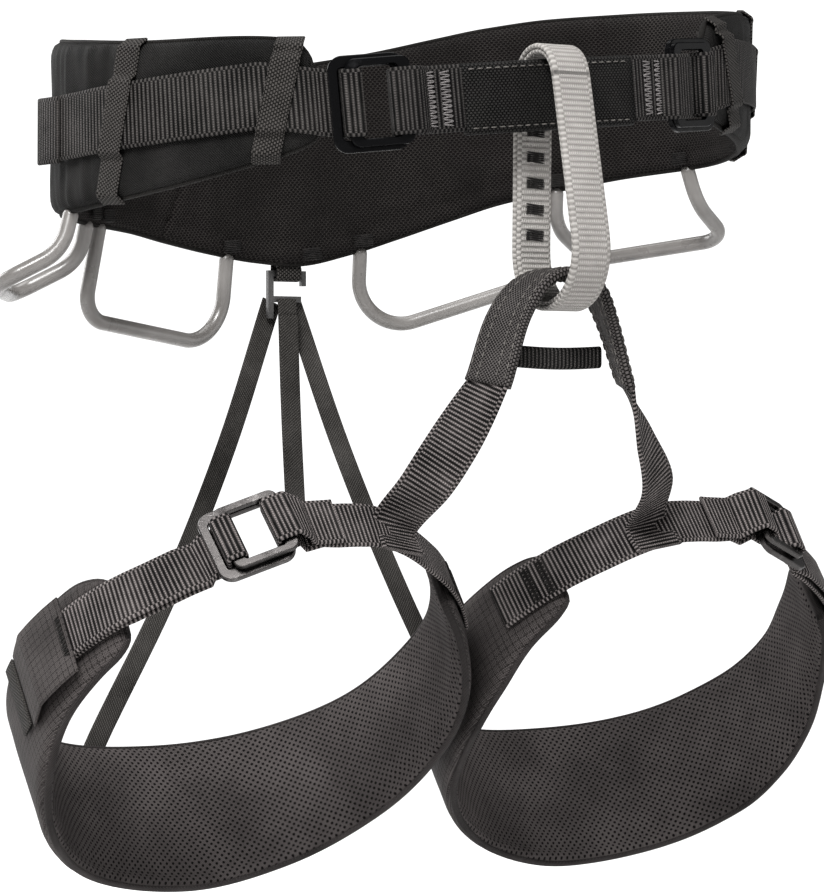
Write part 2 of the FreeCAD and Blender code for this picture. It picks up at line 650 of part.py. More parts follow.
def make_leg(side):
    keep("leg_mesh_lining", side, leg_layer(LEG_LINING))
    keep("leg_foam_pad", side, leg_layer(LEG_FOAM, 1.2))
    keep("leg_outer_shell", side, leg_layer(LEG_SHELL))

    middle = leg_s(LEG_BUCKLE_STATION)
    buckle_plates("leg_buckle", side, LEG, middle, LEG_BASE, LEG_WEBBING, 0.0)
    outside = LEG_SHELL[1] + 1.2
    adjuster, fixed = buckle_paths(0.0, LEG_BASE, 3.6, 6.6, 26.0)
    lead = [(leg_s(st), outside) for st in steps(4.75, 3.4, 6)] + [(leg_s(3.25), outside - 1.5)]
    tail = [(leg_s(3.2), outside + 1.4)]
    tail += [(leg_s(st), outside + 2.0) for st in steps(3.4, 4.6, 6)]
    path = lead + shifted(rounded(adjuster, 1.9), middle) + tail
    keep("leg_adjuster_webbing", side, strap(LEG, path, LEG_WEBBING))

    # the fixed strap: a sewn loop in the buckle, past the bridge junction, to the inner end of the pad
    loop = shifted(rounded(fixed, 1.9), middle)
    run = [(leg_s(1.0) - 4, LEG_BASE + 0.2), (leg_s(0.5), LEG_BASE - 0.6), (leg_s(0.0), LEG_BASE - 0.6)]
    run += [(leg_s(14.6) - LEG.total, LEG_BASE + 1.0), (leg_s(14.25) - LEG.total, outside - 0.4)]
    run += [(leg_s(st) - LEG.total, outside) for st in steps(14.1, 13.5, 3)]
    keep("leg_front_strap", side, strap(LEG, loop + run, LEG_WEBBING))

    # keeper over the tail, and the slot for a gear clip on the outer shell
    a, b = leg_s(4.05), leg_s(4.3)
    over = [(a, outside + 3.6), ((a + b) / 2, outside + 3.6), (b, outside + 3.6)]
    keep("leg_tail_keeper", side, strap(LEG, over, 26.0, 1.0))
    a = leg_s(5.1)
    slot = [(a - 3.5, LEG_SHELL[1] + 1.0), (a + 3.5, LEG_SHELL[1] + 1.0)]
    keep("leg_clipper_slot", side, strap(LEG, slot, 30.0, 1.2))
    keep("bridge_strap", side, bridge_strap())
    keep("riser", side, riser(side))


def ribbon_track(knots, ups, fine):
    """A smooth open track through knots, with the across direction blended from knot to knot."""
    points, across = [], []
    padded = [knots[0] * 2 - knots[1], *knots, knots[-1] * 2 - knots[-2]]
    for i in range(1, len(padded) - 2):
        for k in range(fine + (1 if i == len(padded) - 3 else 0)):
            f = k / fine
            points.append(catmull(padded[i - 1], padded[i], padded[i + 1], padded[i + 2], f))
            across.append(ups[i - 1] * (1 - f) + ups[i] * f)
    return Track(points, across)


def bridge_strap():
    """The twisted webbing from the sleeve's end down to the junction on the left leg loop."""
    x, y, z = BRIDGE_END
    joint, _, across, out = LEG.at(leg_s(0))
    knots = [
        Vector(x + 0.7, y + 0.1, z - 1.4), Vector(x + 11, y + 4, z - 20), Vector(x + 21, y + 10, z - 38),
        joint + out * 6.6 + across * 2, joint + out * 6.4 - across * 11,
    ]
    ups = [
        Vector(0.45, 1, 0), Vector(0.9, 0.75, 0.2), Vector(1, 0.35, 0.4),
        Vector(1, 0.0, 0.35), Vector(1, 0, 0.3),
    ]
    track = ribbon_track(knots, ups, 6)
    return layer_strap(track, 0, track.total, 22, BRIDGE_WEBBING, 1.6, 0)


# ---------------------------------------------------------------- rear risers
def riser(side):
    """One elastic riser, from the hook's lower bar to the outside of the leg pad's upper edge."""
    hook, _ = PIVOTS["riser_hook"]
    station = RISER_FOOT_STATIONS[side]
    s = leg_s(station)
    top = leg_edges(station)[1]
    foot = LEG.put(s, top - 10, LEG_SHELL[1] + 0.8)
    lip = LEG.put(s, top + 1, LEG_SHELL[1] + 1.2)
    start = hook + Vector(4.6, 3.2 if side == "left" else 4.7, -HOOK_DROP - 1)
    run = lip - start
    sag = Vector(-RISER_SAG, -2, -1)
    knots = [start, start + run * 0.33 + sag, start + run * 0.66 + sag, lip, foot]
    track = ribbon_track(knots, [Vector(1, 0, 0), Vector(1, 0, 0.2), Vector(1, 0, 0.3), Vector(1, 0, 0.15),
                                 Vector(1, 0, 0)], 5)
    return layer_strap(track, 0, track.total, 20, RISER_WIDTH, RISER_THICK, 0)


def make_riser_centre():
    """The doubled spare end of the riser tape, hanging from the hook."""
    hook, _ = PIVOTS["riser_hook"]
    start = hook + Vector(-0.6, -1.9, -HOOK_DROP)
    hang = [start, start + Vector(-0.2, -3, -50), start + Vector(0.4, -7, -104)]
    track = ribbon_track(hang, [Vector(1, 0, 0)] * 3, 6)
    PARTS["riser_centre_front"] = layer_strap(track, 0, track.total, 12, RISER_WIDTH, RISER_THICK, 0)
    PARTS["riser_centre_back"] = layer_strap(track, 7, track.total - 4, 10, RISER_WIDTH, RISER_THICK, 1.15)


def main():
    os.makedirs("parts", exist_ok=True)
    make_belt()
    make_back()
    make_belay_loop()
    make_bridge()
    make_riser_centre()
    for side in ("left", "right"):
        make_waist_side(side)
        make_leg(side)
    for name, shape in sorted(PARTS.items()):
        if not shape.Solids or not shape.isValid():
            print(f"not valid: {name}, {len(shape.Solids)} solids")
        shape.exportStep(f"parts/{name}.step")
    print(f"{len(PARTS)} nodes")
    for name, (middle, axis) in PIVOTS.items():
        if name.endswith("_right"):
            middle, axis = Vector(-middle.x, middle.y, middle.z), Vector(-axis.x, axis.y, axis.z)
        print(f"pivot {name}: {[round(x, 2) for x in middle]}, axis {[round(x, 4) for x in axis]}")


main()
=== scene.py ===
"""Looks of the climbing harness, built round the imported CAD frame. Lengths are in mm until a mesh is made."""

import math

import bpy
import numpy as np
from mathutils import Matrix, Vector, noise


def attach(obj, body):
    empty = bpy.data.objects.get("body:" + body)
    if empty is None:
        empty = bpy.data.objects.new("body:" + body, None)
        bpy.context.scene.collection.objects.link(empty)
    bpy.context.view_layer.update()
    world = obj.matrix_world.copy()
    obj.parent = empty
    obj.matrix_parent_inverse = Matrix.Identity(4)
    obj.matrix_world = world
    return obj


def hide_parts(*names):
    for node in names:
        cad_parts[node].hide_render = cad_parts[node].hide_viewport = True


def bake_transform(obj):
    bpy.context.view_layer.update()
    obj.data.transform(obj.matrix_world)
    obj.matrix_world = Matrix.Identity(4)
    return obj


MM = 0.001

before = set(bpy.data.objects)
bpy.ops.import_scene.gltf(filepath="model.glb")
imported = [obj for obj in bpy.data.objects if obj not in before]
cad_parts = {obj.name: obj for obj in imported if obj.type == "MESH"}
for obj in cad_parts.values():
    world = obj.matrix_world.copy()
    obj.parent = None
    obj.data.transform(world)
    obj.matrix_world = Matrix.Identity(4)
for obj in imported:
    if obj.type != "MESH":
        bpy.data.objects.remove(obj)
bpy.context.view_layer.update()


# ---- driving dimensions, as in the CAD part
WAIST_HALF = (142.5, 98.0)
WAIST_RISE = 0.10
BELT_SHELL = 9.1
WING_END_DEG = 37.0
BELT_OUTLINE = [
    (37, -11, 19), (38.5, -13, 24), (41, -15, 26.5), (50, -19.5, 28.8), (66, -25, 30.5), (90, -29.5, 35),
    (114, -31, 38.5), (130, -34, 39.5), (142, -37.5, 38), (152, -43, 35), (162, -49, 31.5),
    (171, -54, 29), (180, -57, 27.5),
]
WAIST_WEBBING = 25.4
WEBBING_THICK = 1.6
WAIST_BUCKLE_DEG = 28.8
WAIST_BASE = 9.4
TAIL_END_DEG = 98.0
GEAR_END_DEGS = {"left": (97.5, 131.0, 136.0, 169.0, 179.0), "right": (95.0, 127.5, 132.7, 165.3)}
TAIL_RISE = (6.0, 1.0)
TURN_RADIUS = 1.9             # webbing's bend round a buckle bar
FLAT_HALF = 18.0              # tracks run straight this far each side of a buckle
PAD_SEAM = 0.46               # share of a pad's thickness at which its two cloths are sewn together
KEEPER_WIDTH = 11.0
KEEPER_DEGS = {"front": (46.0, 40.0), "rear": (77.5, 70.0)}
BELAY_TOP = (-109.0, 3.0, 13.0)
BELAY_BOTTOM = (-115.5, -61.5, 20.8)
BELAY_WIDTH = 16.5
BELAY_THICK = 4.0
LEG_LINE = [
    (60, -85, -170), (88, -85.5, -168.5), (116, -82.5, -172.5), (146, -66, -191), (164, -43, -208),
    (171, -18, -228), (163, 8, -248), (141, 30, -266), (110, 42, -275), (76, 43, -276),
    (43, 32, -268), (19, 11, -252), (9.5, -14, -232), (11, -40, -212), (26, -63, -192),
]
LEG_LEAN_DEG = 38.0
LEG_BUCKLE_STATION = 2
LEG_PAD_ENDS = (3.4, 14.15)
LEG_PAD_EDGES = [
    (3.4, -13, 12), (3.55, -16.5, 16.5), (3.9, -19, 20), (4.5, -23, 20), (5.1, -31, 17), (5.7, -38, 16),
    (6.4, -42, 18), (7.4, -42, 22), (8.6, -42, 25), (9.8, -39, 23), (11.0, -35, 19), (12.3, -32, 16),
    (13.0, -27, 15), (13.6, -19, 15), (14.0, -15.5, 13.5), (14.15, -12, 10.5),
]
LEG_SHELL = 7.4
LEG_BASE = 5.0
LEG_WEBBING = 20.0
BRIDGE_TOP = (0, -115, -69.6)
BRIDGE_END = (31, -113, -112)
RISER_WIDTH = 9.0
RISER_FOOT_STATIONS = {"left": 9.2, "right": 8.0}
RISER_SAG = 5.0
HOOK_DROP = 11.0
HOOK_PIVOT = np.array([0, WAIST_HALF[1] + BELT_SHELL - 1.0, -60.9])


# ---- tracks
WAIST_DEGS = np.arange(-180, 181, 2)


def unit(v):
    return v / np.linalg.norm(v, axis=-1, keepdims=True)


def catmull(p0, p1, p2, p3, t):
    square = 2 * p0 - 5 * p1 + 4 * p2 - p3
    cube = 3 * p1 - p0 - 3 * p2 + p3
    return 0.5 * (2 * p1 + (p2 - p0) * t + square * t**2 + cube * t**3)


def smooth_table(rows, x):
    """Columns of a table at x, monotone between its rows."""
    rows = np.array(rows, float)
    xs = rows[:, 0]
    x = np.clip(x, xs[0], xs[-1])
    i = np.clip(np.searchsorted(xs, x, side="right") - 1, 0, len(xs) - 2)
    span = xs[i + 1] - xs[i]
    t = (x - xs[i]) / span
    out = []
    for col in rows[:, 1:].T:
        d = np.diff(col) / np.diff(xs)
        both = d[:-1] * d[1:] > 0
        inner = np.where(both, 2 * d[:-1] * d[1:] / np.where(both, d[:-1] + d[1:], 1), 0)
        m = np.concatenate([[0], inner, [0]])
        a, b, ma, mb = col[i], col[i + 1], m[i] * span, m[i + 1] * span
        out.append(a + ma * t + (3 * (b - a) - 2 * ma - mb) * t**2 + (2 * (a - b) + ma + mb) * t**3)
    return out


def running(points):
    """Length along a line of points at each of them."""
    return np.concatenate([[0], np.cumsum(np.linalg.norm(np.diff(points, axis=0), axis=1))])


class Track:
    """A line with directions along it (t), across it (w, upwards) and out of it (n)."""

    def __init__(self, points, up, closed=False):
        self.points = np.array(points, float)
        self.ups = np.broadcast_to(np.array(up, float), self.points.shape)
        self.lengths = running(self.points)
        self.total = self.lengths[-1]
        self.closed = closed
        self.flats = []
        p = self.points
        if closed:
            ring = p[:-1]
            d = np.roll(ring, -1, 0) - np.roll(ring, 1, 0)
            self.dirs = unit(np.vstack([d, d[:1]]))
        else:
            self.dirs = unit(np.vstack([p[1] - p[0], p[2:] - p[:-2], p[-1] - p[-2]]))

    def at(self, s):
        s = np.atleast_1d(np.asarray(s, float))
        base = s.copy()
        for centre, half in self.flats:
            base = np.where(np.abs(s - centre) < half, centre, base)
        offset = s - base
        if self.closed:
            base = base % self.total
        i = np.clip(np.searchsorted(self.lengths, base, side="right") - 1, 0, len(self.points) - 2)
        f = ((base - self.lengths[i]) / (self.lengths[i + 1] - self.lengths[i]))[:, None]
        p = self.points[i] * (1 - f) + self.points[i + 1] * f
        t = unit(self.dirs[i] * (1 - f) + self.dirs[i + 1] * f)
        up = self.ups[i] * (1 - f) + self.ups[i + 1] * f
        w = unit(up - t * np.sum(up * t, axis=1, keepdims=True))
        return p + t * offset[:, None], t, w, np.cross(t, w)

    def put(self, s, v, n):
        p, _, w, out = self.at(s)
        return p + w * np.reshape(v, (-1, 1)) + out * np.reshape(n, (-1, 1))


def waist_track(rise, degs=WAIST_DEGS):
    """The oval line of the belt's inner face through directions measured from the front centre."""
    a = np.radians(degs)
    x = WAIST_HALF[0] * np.sin(a)
    return Track(np.stack([x, -WAIST_HALF[1] * np.cos(a), rise * x], 1), (0, 0, 1))


WAIST = {"left": waist_track(WAIST_RISE), "right": waist_track(-WAIST_RISE)}


def waist_s(deg):
    return np.interp((np.asarray(deg) + 180) / 2, np.arange(181), WAIST["left"].lengths)


BUCKLE_S = waist_s(WAIST_BUCKLE_DEG)
for side in WAIST:
    WAIST[side].flats = [(BUCKLE_S, FLAT_HALF), (-BUCKLE_S + WAIST["left"].total, FLAT_HALF)]


def belt_edges(deg):
    return smooth_table(BELT_OUTLINE, np.minimum(np.abs(deg), 360 - np.abs(deg)))


def leg_track():
    knots = np.array(LEG_LINE, float)
    points = []
    fine = 12
    for i in range(len(knots)):
        p = [knots[(i + j) % len(knots)] for j in (-1, 0, 1, 2)]
        points += [catmull(*p, k / fine) for k in range(fine)]
    points.append(points[0])
    lean = math.radians(LEG_LEAN_DEG)
    track = Track(points, (0, math.sin(lean), math.cos(lean)), closed=True)
    track.stations = np.append(track.lengths[: len(knots) * fine : fine], track.total)
    track.flats = [(track.stations[LEG_BUCKLE_STATION], FLAT_HALF)]
    return track


LEG = leg_track()


def leg_s(station):
    return np.interp(station, np.arange(len(LEG.stations)), LEG.stations)


def station_of(s):
    return np.interp(s, LEG.stations, np.arange(len(LEG.stations)))


def open_track(knots, ups, fine):
    """A smooth open track through knots, with the across direction blended from knot to knot."""
    knots = [np.array(k, float) for k in knots]
    ups = [np.array(u, float) for u in ups]
    padded = [knots[0] * 2 - knots[1], *knots, knots[-1] * 2 - knots[-2]]
    points, across = [], []
    for i in range(1, len(padded) - 2):
        for k in range(fine + (1 if i == len(padded) - 3 else 0)):
            f = k / fine
            points.append(catmull(*padded[i - 1 : i + 3], f))
            across.append(ups[i - 1] * (1 - f) + ups[i] * f)
    return Track(points, across)


# ---- mesh makers
def make_object(name, verts, faces, weave, materials, face_slots=None):
    """A smooth-shaded mesh. weave holds each vertex's place on the cloth: along, across and layer, in mm."""
    mesh = bpy.data.meshes.new(name)
    mesh.from_pydata((np.asarray(verts) * MM).tolist(), [], faces)
    mesh.polygons.foreach_set("use_smooth", np.ones(len(mesh.polygons), bool))
    attribute = mesh.attributes.new("weave", "FLOAT_VECTOR", "POINT")
    attribute.data.foreach_set("vector", np.asarray(weave, np.float32).ravel())
    for m in materials:
        mesh.materials.append(MAT[m])
    if face_slots is not None:
        mesh.polygons.foreach_set("material_index", np.asarray(face_slots, np.int32))
    mesh.update()
    obj = bpy.data.objects.new(name, mesh)
    bpy.context.scene.collection.objects.link(obj)
    return obj


def ring_faces(rows, ring, closed=False, caps=True):
    faces = []
    for i in range(rows if closed else rows - 1):
        a, b = i * ring, ((i + 1) % rows) * ring
        for j in range(ring):
            k = (j + 1) % ring
            faces.append((a + j, b + j, b + k, a + k))
    if caps and not closed:
        faces.append(tuple(range(ring)))
        faces.append(tuple(range(rows * ring - 1, (rows - 1) * ring - 1, -1)))
    return faces


def flat_section(width, thick, columns=6):
    """A band's cross-section with round edges: (across, out) pairs."""
    half, r = width / 2, thick / 2
    pts = []
    for k in range(5):
        a = -math.pi / 2 + math.pi * k / 4
        pts.append((half - r + r * math.cos(a), r * math.sin(a)))
    inner = np.linspace(half - r, -half + r, columns + 2)[1:-1]
    pts += [(x, r) for x in inner]
    for k in range(5):
        a = math.pi / 2 + math.pi * k / 4
        pts.append((-half + r + r * math.cos(a), r * math.sin(a)))
    pts += [(x, -r) for x in inner[::-1]]
    return np.array(pts)


def band(name, centres, across, out, width, thick, material, closed=False):
    """Webbing or tape through centres, with unit across and out directions at each."""
    centres = np.asarray(centres, float)
    section = flat_section(width, thick)
    along = running(centres)
    a = np.repeat(section[None, :, 0], len(centres), 0)
    verts = centres[:, None] + across[:, None] * a[..., None] + out[:, None] * section[None, :, 1:]
    layer = np.broadcast_to(section[:, 1], a.shape)
    weave = np.stack([np.repeat(along[:, None], len(section), 1), a, layer], -1)
    faces = ring_faces(len(centres), len(section), closed)
    return make_object(name, verts.reshape(-1, 3), faces, weave.reshape(-1, 3), [material])


def run_along(low, high, count, n=0.0):
    """Pairs of a place along a track and one height n over it."""
    return [(s, n) for s in np.linspace(low, high, count)]


def fine_path(path, step=1.6):
    """A path of (s, n) pairs with its long runs divided."""
    path = np.array(path, float)
    out = [path[0]]
    for a, b in zip(path, path[1:]):
        count = max(1, int(np.hypot(*(b - a)) / step))
        out += [a + (b - a) * (k + 1) / count for k in range(count)]
    return np.array(out)


def strap(name, track, path, width, material, thick=WEBBING_THICK, v=0.0):
    """Webbing along a list of (s, n) pairs on a track. v is its height, or one height for each pair."""
    path = fine_path(path) if not isinstance(v, (list, np.ndarray)) else np.array(path, float)
    s, n = path[:, 0], path[:, 1]
    _, t, w, out = track.at(s)
    d = np.gradient(path, axis=0)
    d = d / np.linalg.norm(d, axis=1, keepdims=True)
    normal = out * d[:, :1] - t * d[:, 1:]
    return band(name, track.put(s, v, n), w, normal, width, thick, material)


def rounded(points, radius, turn_steps=6):
    """A path of (s, n) pairs with every inner corner rounded by up to that radius."""
    out = [points[0]]
    for a, b, c in zip(points, points[1:], points[2:]):
        a, b, c = (np.array(p, float) for p in (a, b, c))
        ua, uc = unit(a - b), unit(c - b)
        half = math.acos(np.clip(ua @ uc, -1, 1)) / 2
        if math.pi - 2 * half < math.radians(4):
            out.append(tuple(b))
            continue
        cut = min(radius / math.tan(half), 0.49 * np.linalg.norm(a - b), 0.49 * np.linalg.norm(c - b))
        r = cut * math.tan(half)
        centre = b + unit(ua + uc) * r / math.sin(half)
        p, q = b + ua * cut - centre, b + uc * cut - centre
        start = math.atan2(p[1], p[0])
        sweep = (math.atan2(q[1], q[0]) - start + math.pi) % (2 * math.pi) - math.pi
        for k in range(turn_steps + 1):
            angle = start + sweep * k / turn_steps
            out.append((centre[0] + r * math.cos(angle), centre[1] + r * math.sin(angle)))
    out.append(points[-1])
    return out


def mirrored(obj):
    """Turns a piece made for the wearer's left side into the right one."""
    co = np.zeros(len(obj.data.vertices) * 3, np.float32)
    obj.data.vertices.foreach_get("co", co)
    co.reshape(-1, 3)[:, 0] *= -1
    obj.data.vertices.foreach_set("co", co)
    obj.data.flip_normals()
    obj.data.update()
    return obj


def placed(obj, side, body, slot, *nodes):
    """Mirrors a piece for the right side, then rides it on a body in place of CAD nodes."""
    if side == "right":
        mirrored(obj)
    if body:
        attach(obj, body)
    if nodes:
        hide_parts(*nodes)
    return obj


def on_waist(obj, slot, *nodes):
    """Rides a piece on the waist in place of CAD nodes."""
    placed(obj, "left", "waist", slot, *nodes)


def sewn(node, place, path, *args, **more):
    """A strap in place of one side's CAD node. place is its track, side, body and slot; the slot is not used.
    """
    track, side, body, slot = place
    placed(strap(f"{node}_cloth_{side}", track, path, *args, **more), side, body, slot, f"{node}_{side}")


def wobble(points, scale, amount, seed=0.0):
    """Smooth noise at each point, in mm."""
    shift = Vector((seed, seed * 1.7, -seed))
    return np.array([noise.noise(Vector(p) / scale + shift) for p in points]) * amount


def pad(name, track, stops, edges, depth, materials, seed,
        quilt=(), seams=(), creases=(), columns=26, rim=7.0):
    """A crowned closed pad along a track, outer and inner cloth, pinched to a thin seam round its edge.

    edges(s) gives the lower and upper edge. depth is the pad's full thickness. quilt lists channels pressed
    into its inner face, each a share of the pad's width. seams lists seams across it: place and slant.
    creases lists where its outer cloth hangs in folds across it: place, reach and height."""
    lo, hi = edges(stops)
    share = 0.5 - 0.5 * np.cos(np.linspace(0, np.pi, columns))
    share = 0.5 * share + 0.5 * np.linspace(0, 1, columns)
    v = lo[:, None] + (hi - lo)[:, None] * share[None]
    to_side = np.minimum(v - lo[:, None], hi[:, None] - v)
    to_end = np.minimum(stops - stops[0], stops[-1] - stops)[:, None]
    reach = np.minimum(np.maximum(np.minimum(to_side, to_end), 0) / rim, 1)
    crown = np.sqrt(1 - (1 - reach) ** 2)
    rows, seam = len(stops), depth * PAD_SEAM
    s = np.repeat(stops[:, None], columns, 1)
    flat = track.put(s.ravel(), v.ravel(), np.full(v.size, seam))
    ripple = (wobble(flat, 34.0, 0.9, seed) + wobble(flat, 11.0, 0.35, seed + 5)).reshape(v.shape)
    outer = seam + 0.8 + (depth - seam - 1.1) * crown + ripple * 0.5 * crown
    inner = seam - 0.8 - (seam - 1.0) * crown - ripple * crown
    for line in quilt:
        groove = np.exp(-(((share[None] - line) * (hi - lo)[:, None]) / 2.2) ** 2)
        inner = inner + groove * 1.3 * crown
    for place, slant in seams:
        groove = np.exp(-((s - place - slant * v) / 1.8) ** 2)
        swell = np.exp(-((s - place - slant * v) / 7.0) ** 2)
        inner = inner + (groove * 1.5 - swell * 0.5) * crown
    for place, reach, height in creases:
        lines = np.stack([s.ravel(), v.ravel() * 0.16, s.ravel() * 0], 1)
        fold = wobble(lines, 5.0, 1.0, seed).reshape(v.shape)
        outer = outer + fold * height * np.exp(-((s - place) / reach) ** 2) * crown
    ring_v = np.concatenate([v, v[:, ::-1]], 1)
    ring_n = np.concatenate([outer, inner[:, ::-1]], 1)
    ring_s = np.repeat(stops[:, None], 2 * columns, 1)
    verts = track.put(ring_s.ravel(), ring_v.ravel(), ring_n.ravel())
    layer = np.concatenate([np.ones_like(v), -np.ones_like(v)], 1)
    weave = np.stack([ring_s, ring_v, layer], -1).reshape(-1, 3)
    faces = ring_faces(rows, 2 * columns)
    slots = []
    for _ in range(rows - 1):
        slots += [0] * columns + [1] * (columns - 1) + [0]
    slots += [0, 0]
    return make_object(name, verts, faces, weave, materials, slots)


def binding(name, track, stops, edges, n0, material, width=2.8, height=2.0):
    """A tape folded over the whole edge of a pad."""
    lo, hi = edges(stops)
    s = np.concatenate([stops, stops[::-1]])
    v = np.concatenate([lo, hi[::-1]])
    s, v = fine_path(np.stack([np.append(s, s[0]), np.append(v, v[0])], 1), 2.5)[:-1].T
    for _ in range(2):
        s = (np.roll(s, 1) + 2 * s + np.roll(s, -1)) / 4
        v = (np.roll(v, 1) + 2 * v + np.roll(v, -1)) / 4
    centres = track.put(s, v, np.full(len(s), n0))
    _, _, _, n = track.at(s)
    tangent = unit(np.roll(centres, -1, 0) - np.roll(centres, 1, 0))
    side_dir = unit(np.cross(tangent, n))
    return band(name, centres, n, side_dir, width, height, material, closed=True)


def stitches(name, points, normals, material, length=2.4, gap=1.2, radius=0.28):
    """Dashes of thread along a line of surface points, joined into one mesh."""
    points = np.asarray(points, float)
    lengths = running(points)
    verts, faces, weave = [], [], []

    def at(rows, s):
        return np.array([np.interp(s, lengths, rows[:, k]) for k in range(3)])

    s = gap
    while s + length < lengths[-1]:
        a, b = at(points, s), at(points, s + length)
        n = unit(at(normals, s + length / 2))
        t = unit(b - a)
        w = np.cross(n, t)
        base = len(verts)
        for f, r in ((0, 0.25), (0.15, 0.85), (0.5, 1.0), (0.85, 0.85), (1, 0.25)):
            c = a + (b - a) * f + n * (radius * 0.3)
            for k in range(6):
                angle = math.pi * 2 * k / 6
                verts.append(c + (w * math.cos(angle) + n * math.sin(angle)) * radius * r)
                weave.append((s + f * length, 0, 0))
        for i in range(4):
            for k in range(6):
                p, q = base + i * 6, base + i * 6 + 6
                faces.append((p + k, p + (k + 1) % 6, q + (k + 1) % 6, q + k))
        faces.append(tuple(base + 5 - k for k in range(6)))
        faces.append(tuple(base + 24 + k for k in range(6)))
        s += length + gap
    return make_object(name, verts, faces, weave, [material])


def joined(name, parts):
    """Several fresh objects as one."""
    bpy.ops.object.select_all(action="DESELECT")
    for o in parts:
        o.select_set(True)
    bpy.context.view_layer.objects.active = parts[0]
    if len(parts) > 1:
        bpy.ops.object.join()
    parts[0].name = name
    return parts[0]


# ---- materials
class Shader:
    """A small builder for one procedural material."""

    def __init__(self, name, roughness, sheen=None, **sockets):
        self.material = bpy.data.materials.new(name)
        self.material.use_nodes = True
        self.tree = self.material.node_tree
        self.bsdf = self.tree.nodes["Principled BSDF"]
        self.bsdf.inputs["Roughness"].default_value = roughness
        self.bsdf.inputs["Specular IOR Level"].default_value = 0.07
        if sheen:
            sockets |= {"Sheen_Weight": 0.01, "Sheen_Roughness": sheen}
        for key, value in sockets.items():
            self.bsdf.inputs[key.replace("_", " ")].default_value = value
        place = self.node("ShaderNodeAttribute", attribute_name="weave")
        split = self.node("ShaderNodeSeparateXYZ")
        self.link(place.outputs["Vector"], split.inputs[0])
        self.along, self.across = split.outputs[:2]
        self.where = self.node("ShaderNodeTexCoord").outputs["Object"]

    def node(self, kind, **settings):
        n = self.tree.nodes.new(kind)
        for key, value in settings.items():
            setattr(n, key, value)
        return n

    def link(self, a, b):
        self.tree.links.new(a, b)

    def put(self, value, socket):
        if isinstance(value, bpy.types.NodeSocket):
            self.link(value, socket)
        else:
            socket.default_value = value

    def math(self, op, *values):
        n = self.node("ShaderNodeMath", operation=op)
        for value, socket in zip(values, n.inputs):
            self.put(value, socket)
        return n.outputs[0]

    def mul(self, a, b):
        return self.math("MULTIPLY", a, b)

    def add(self, a, b):
        return self.math("ADD", a, b)

    def div(self, a, b):
        return self.math("DIVIDE", a, b)

    def mad(self, a, b, c):
        """a times b plus c."""
        return self.math("MULTIPLY_ADD", a, b, c)

    def wave(self, x, pitch, phase=0.0):
        """0 to 1 to 0 once per pitch."""
        angle = self.mad(x, 2 * math.pi / pitch, phase)
        return self.mad(self.math("SINE", angle), 0.5, 0.5)

    def noise(self, scale, detail=3.0, vector=None, rough=0.6):
        n = self.node("ShaderNodeTexNoise")
        values = {"Vector": vector or self.where, "Scale": scale, "Detail": detail, "Roughness": rough}
        for key, value in values.items():
            self.put(value, n.inputs[key])
        return n.outputs["Fac"]

    def smooth(self, x, low, high, out_low=0.0, out_high=1.0):
        n = self.node("ShaderNodeMapRange", interpolation_type="SMOOTHSTEP")
        for value, socket in zip((x, low, high, out_low, out_high), n.inputs):
            self.put(value, socket)
        return n.outputs[0]

    def mix(self, factor, a, b):
        n = self.node("ShaderNodeMix", data_type="RGBA")
        self.put(factor, n.inputs["Factor"])
        self.put(a if isinstance(a, bpy.types.NodeSocket) else (*a, 1), n.inputs[6])
        self.put(b if isinstance(b, bpy.types.NodeSocket) else (*b, 1), n.inputs[7])
        return n.outputs[2]

    def finish(self, color, height, distance=0.3, strength=1.0, roughness=None):
        self.link(color, self.bsdf.inputs["Base Color"])
        bump = self.node("ShaderNodeBump")
        bump.inputs["Strength"].default_value = strength
        bump.inputs["Distance"].default_value = distance * MM
        self.link(height, bump.inputs["Height"])
        self.link(bump.outputs[0], self.bsdf.inputs["Normal"])
        if roughness is not None:
            self.link(roughness, self.bsdf.inputs["Roughness"])
        return self.material


def webbing_material(name, dark, light, pitch, width, depth=0.45, edge=1.3, roughness=0.62, sharp=1.1):
    """Woven webbing: ribs across it, yarns crossing each rib, and a chain-like selvedge at both edges."""
    m = Shader(name, roughness, sheen=0.5)
    rib = m.math("POWER", m.wave(m.along, pitch), sharp)
    row = m.math("FLOOR", m.div(m.along, pitch))
    yarn = m.wave(m.mad(row, 0.5 * 0.95, m.across), 0.95)
    inside = m.math("SUBTRACT", width / 2 - edge, m.math("ABSOLUTE", m.across))
    body = m.smooth(inside, -0.1, 0.25)
    chain = m.wave(m.along, pitch, math.pi)
    ribs = m.mul(rib, m.mad(yarn, 0.5, 0.5))
    height = m.add(m.mul(ribs, body),
                    m.mul(chain, m.mad(body, -0.7, 0.7)))
    wear = m.noise(60, 4)
    # Rib crests get the light colour and the troughs between them get the dark one: a painted highlight on the
    # crests and painted shade in the troughs, over random mottling.
    mottle_and_relief_shade = m.mad(wear, 0.5, m.mul(height, 0.75))
    color = m.mix(m.smooth(mottle_and_relief_shade, 0.2, 1.05), dark, light)
    fuzz = m.noise(2500, 2)
    return m.finish(color, m.mad(fuzz, 0.12, height), depth, 1.0)


def twill_material(name, dark, light, pitch=0.9, roughness=0.6, dent=0.22):
    """Fine diagonal cloth with low creases."""
    m = Shader(name, roughness, sheen=0.45)
    slant = m.wave(m.add(m.along, m.mul(m.across, 0.8)), pitch)
    cross = m.wave(m.math("SUBTRACT", m.across, m.mul(m.along, 0.3)), pitch * 0.7)
    height = m.mul(slant, m.mad(cross, 0.6, 0.4))
    cloud = m.noise(28, 5)
    # Colour follows the crease bumps and the twill ribs: painted shade in their hollows and a painted highlight
    # on their tops.
    mottle_and_relief_shade = m.mad(cloud, 0.8, m.mul(height, 0.45))
    color = m.mix(m.smooth(mottle_and_relief_shade, 0.25, 0.95), dark, light)
    return m.finish(color, m.mad(cloud, 2.0, height), dent)


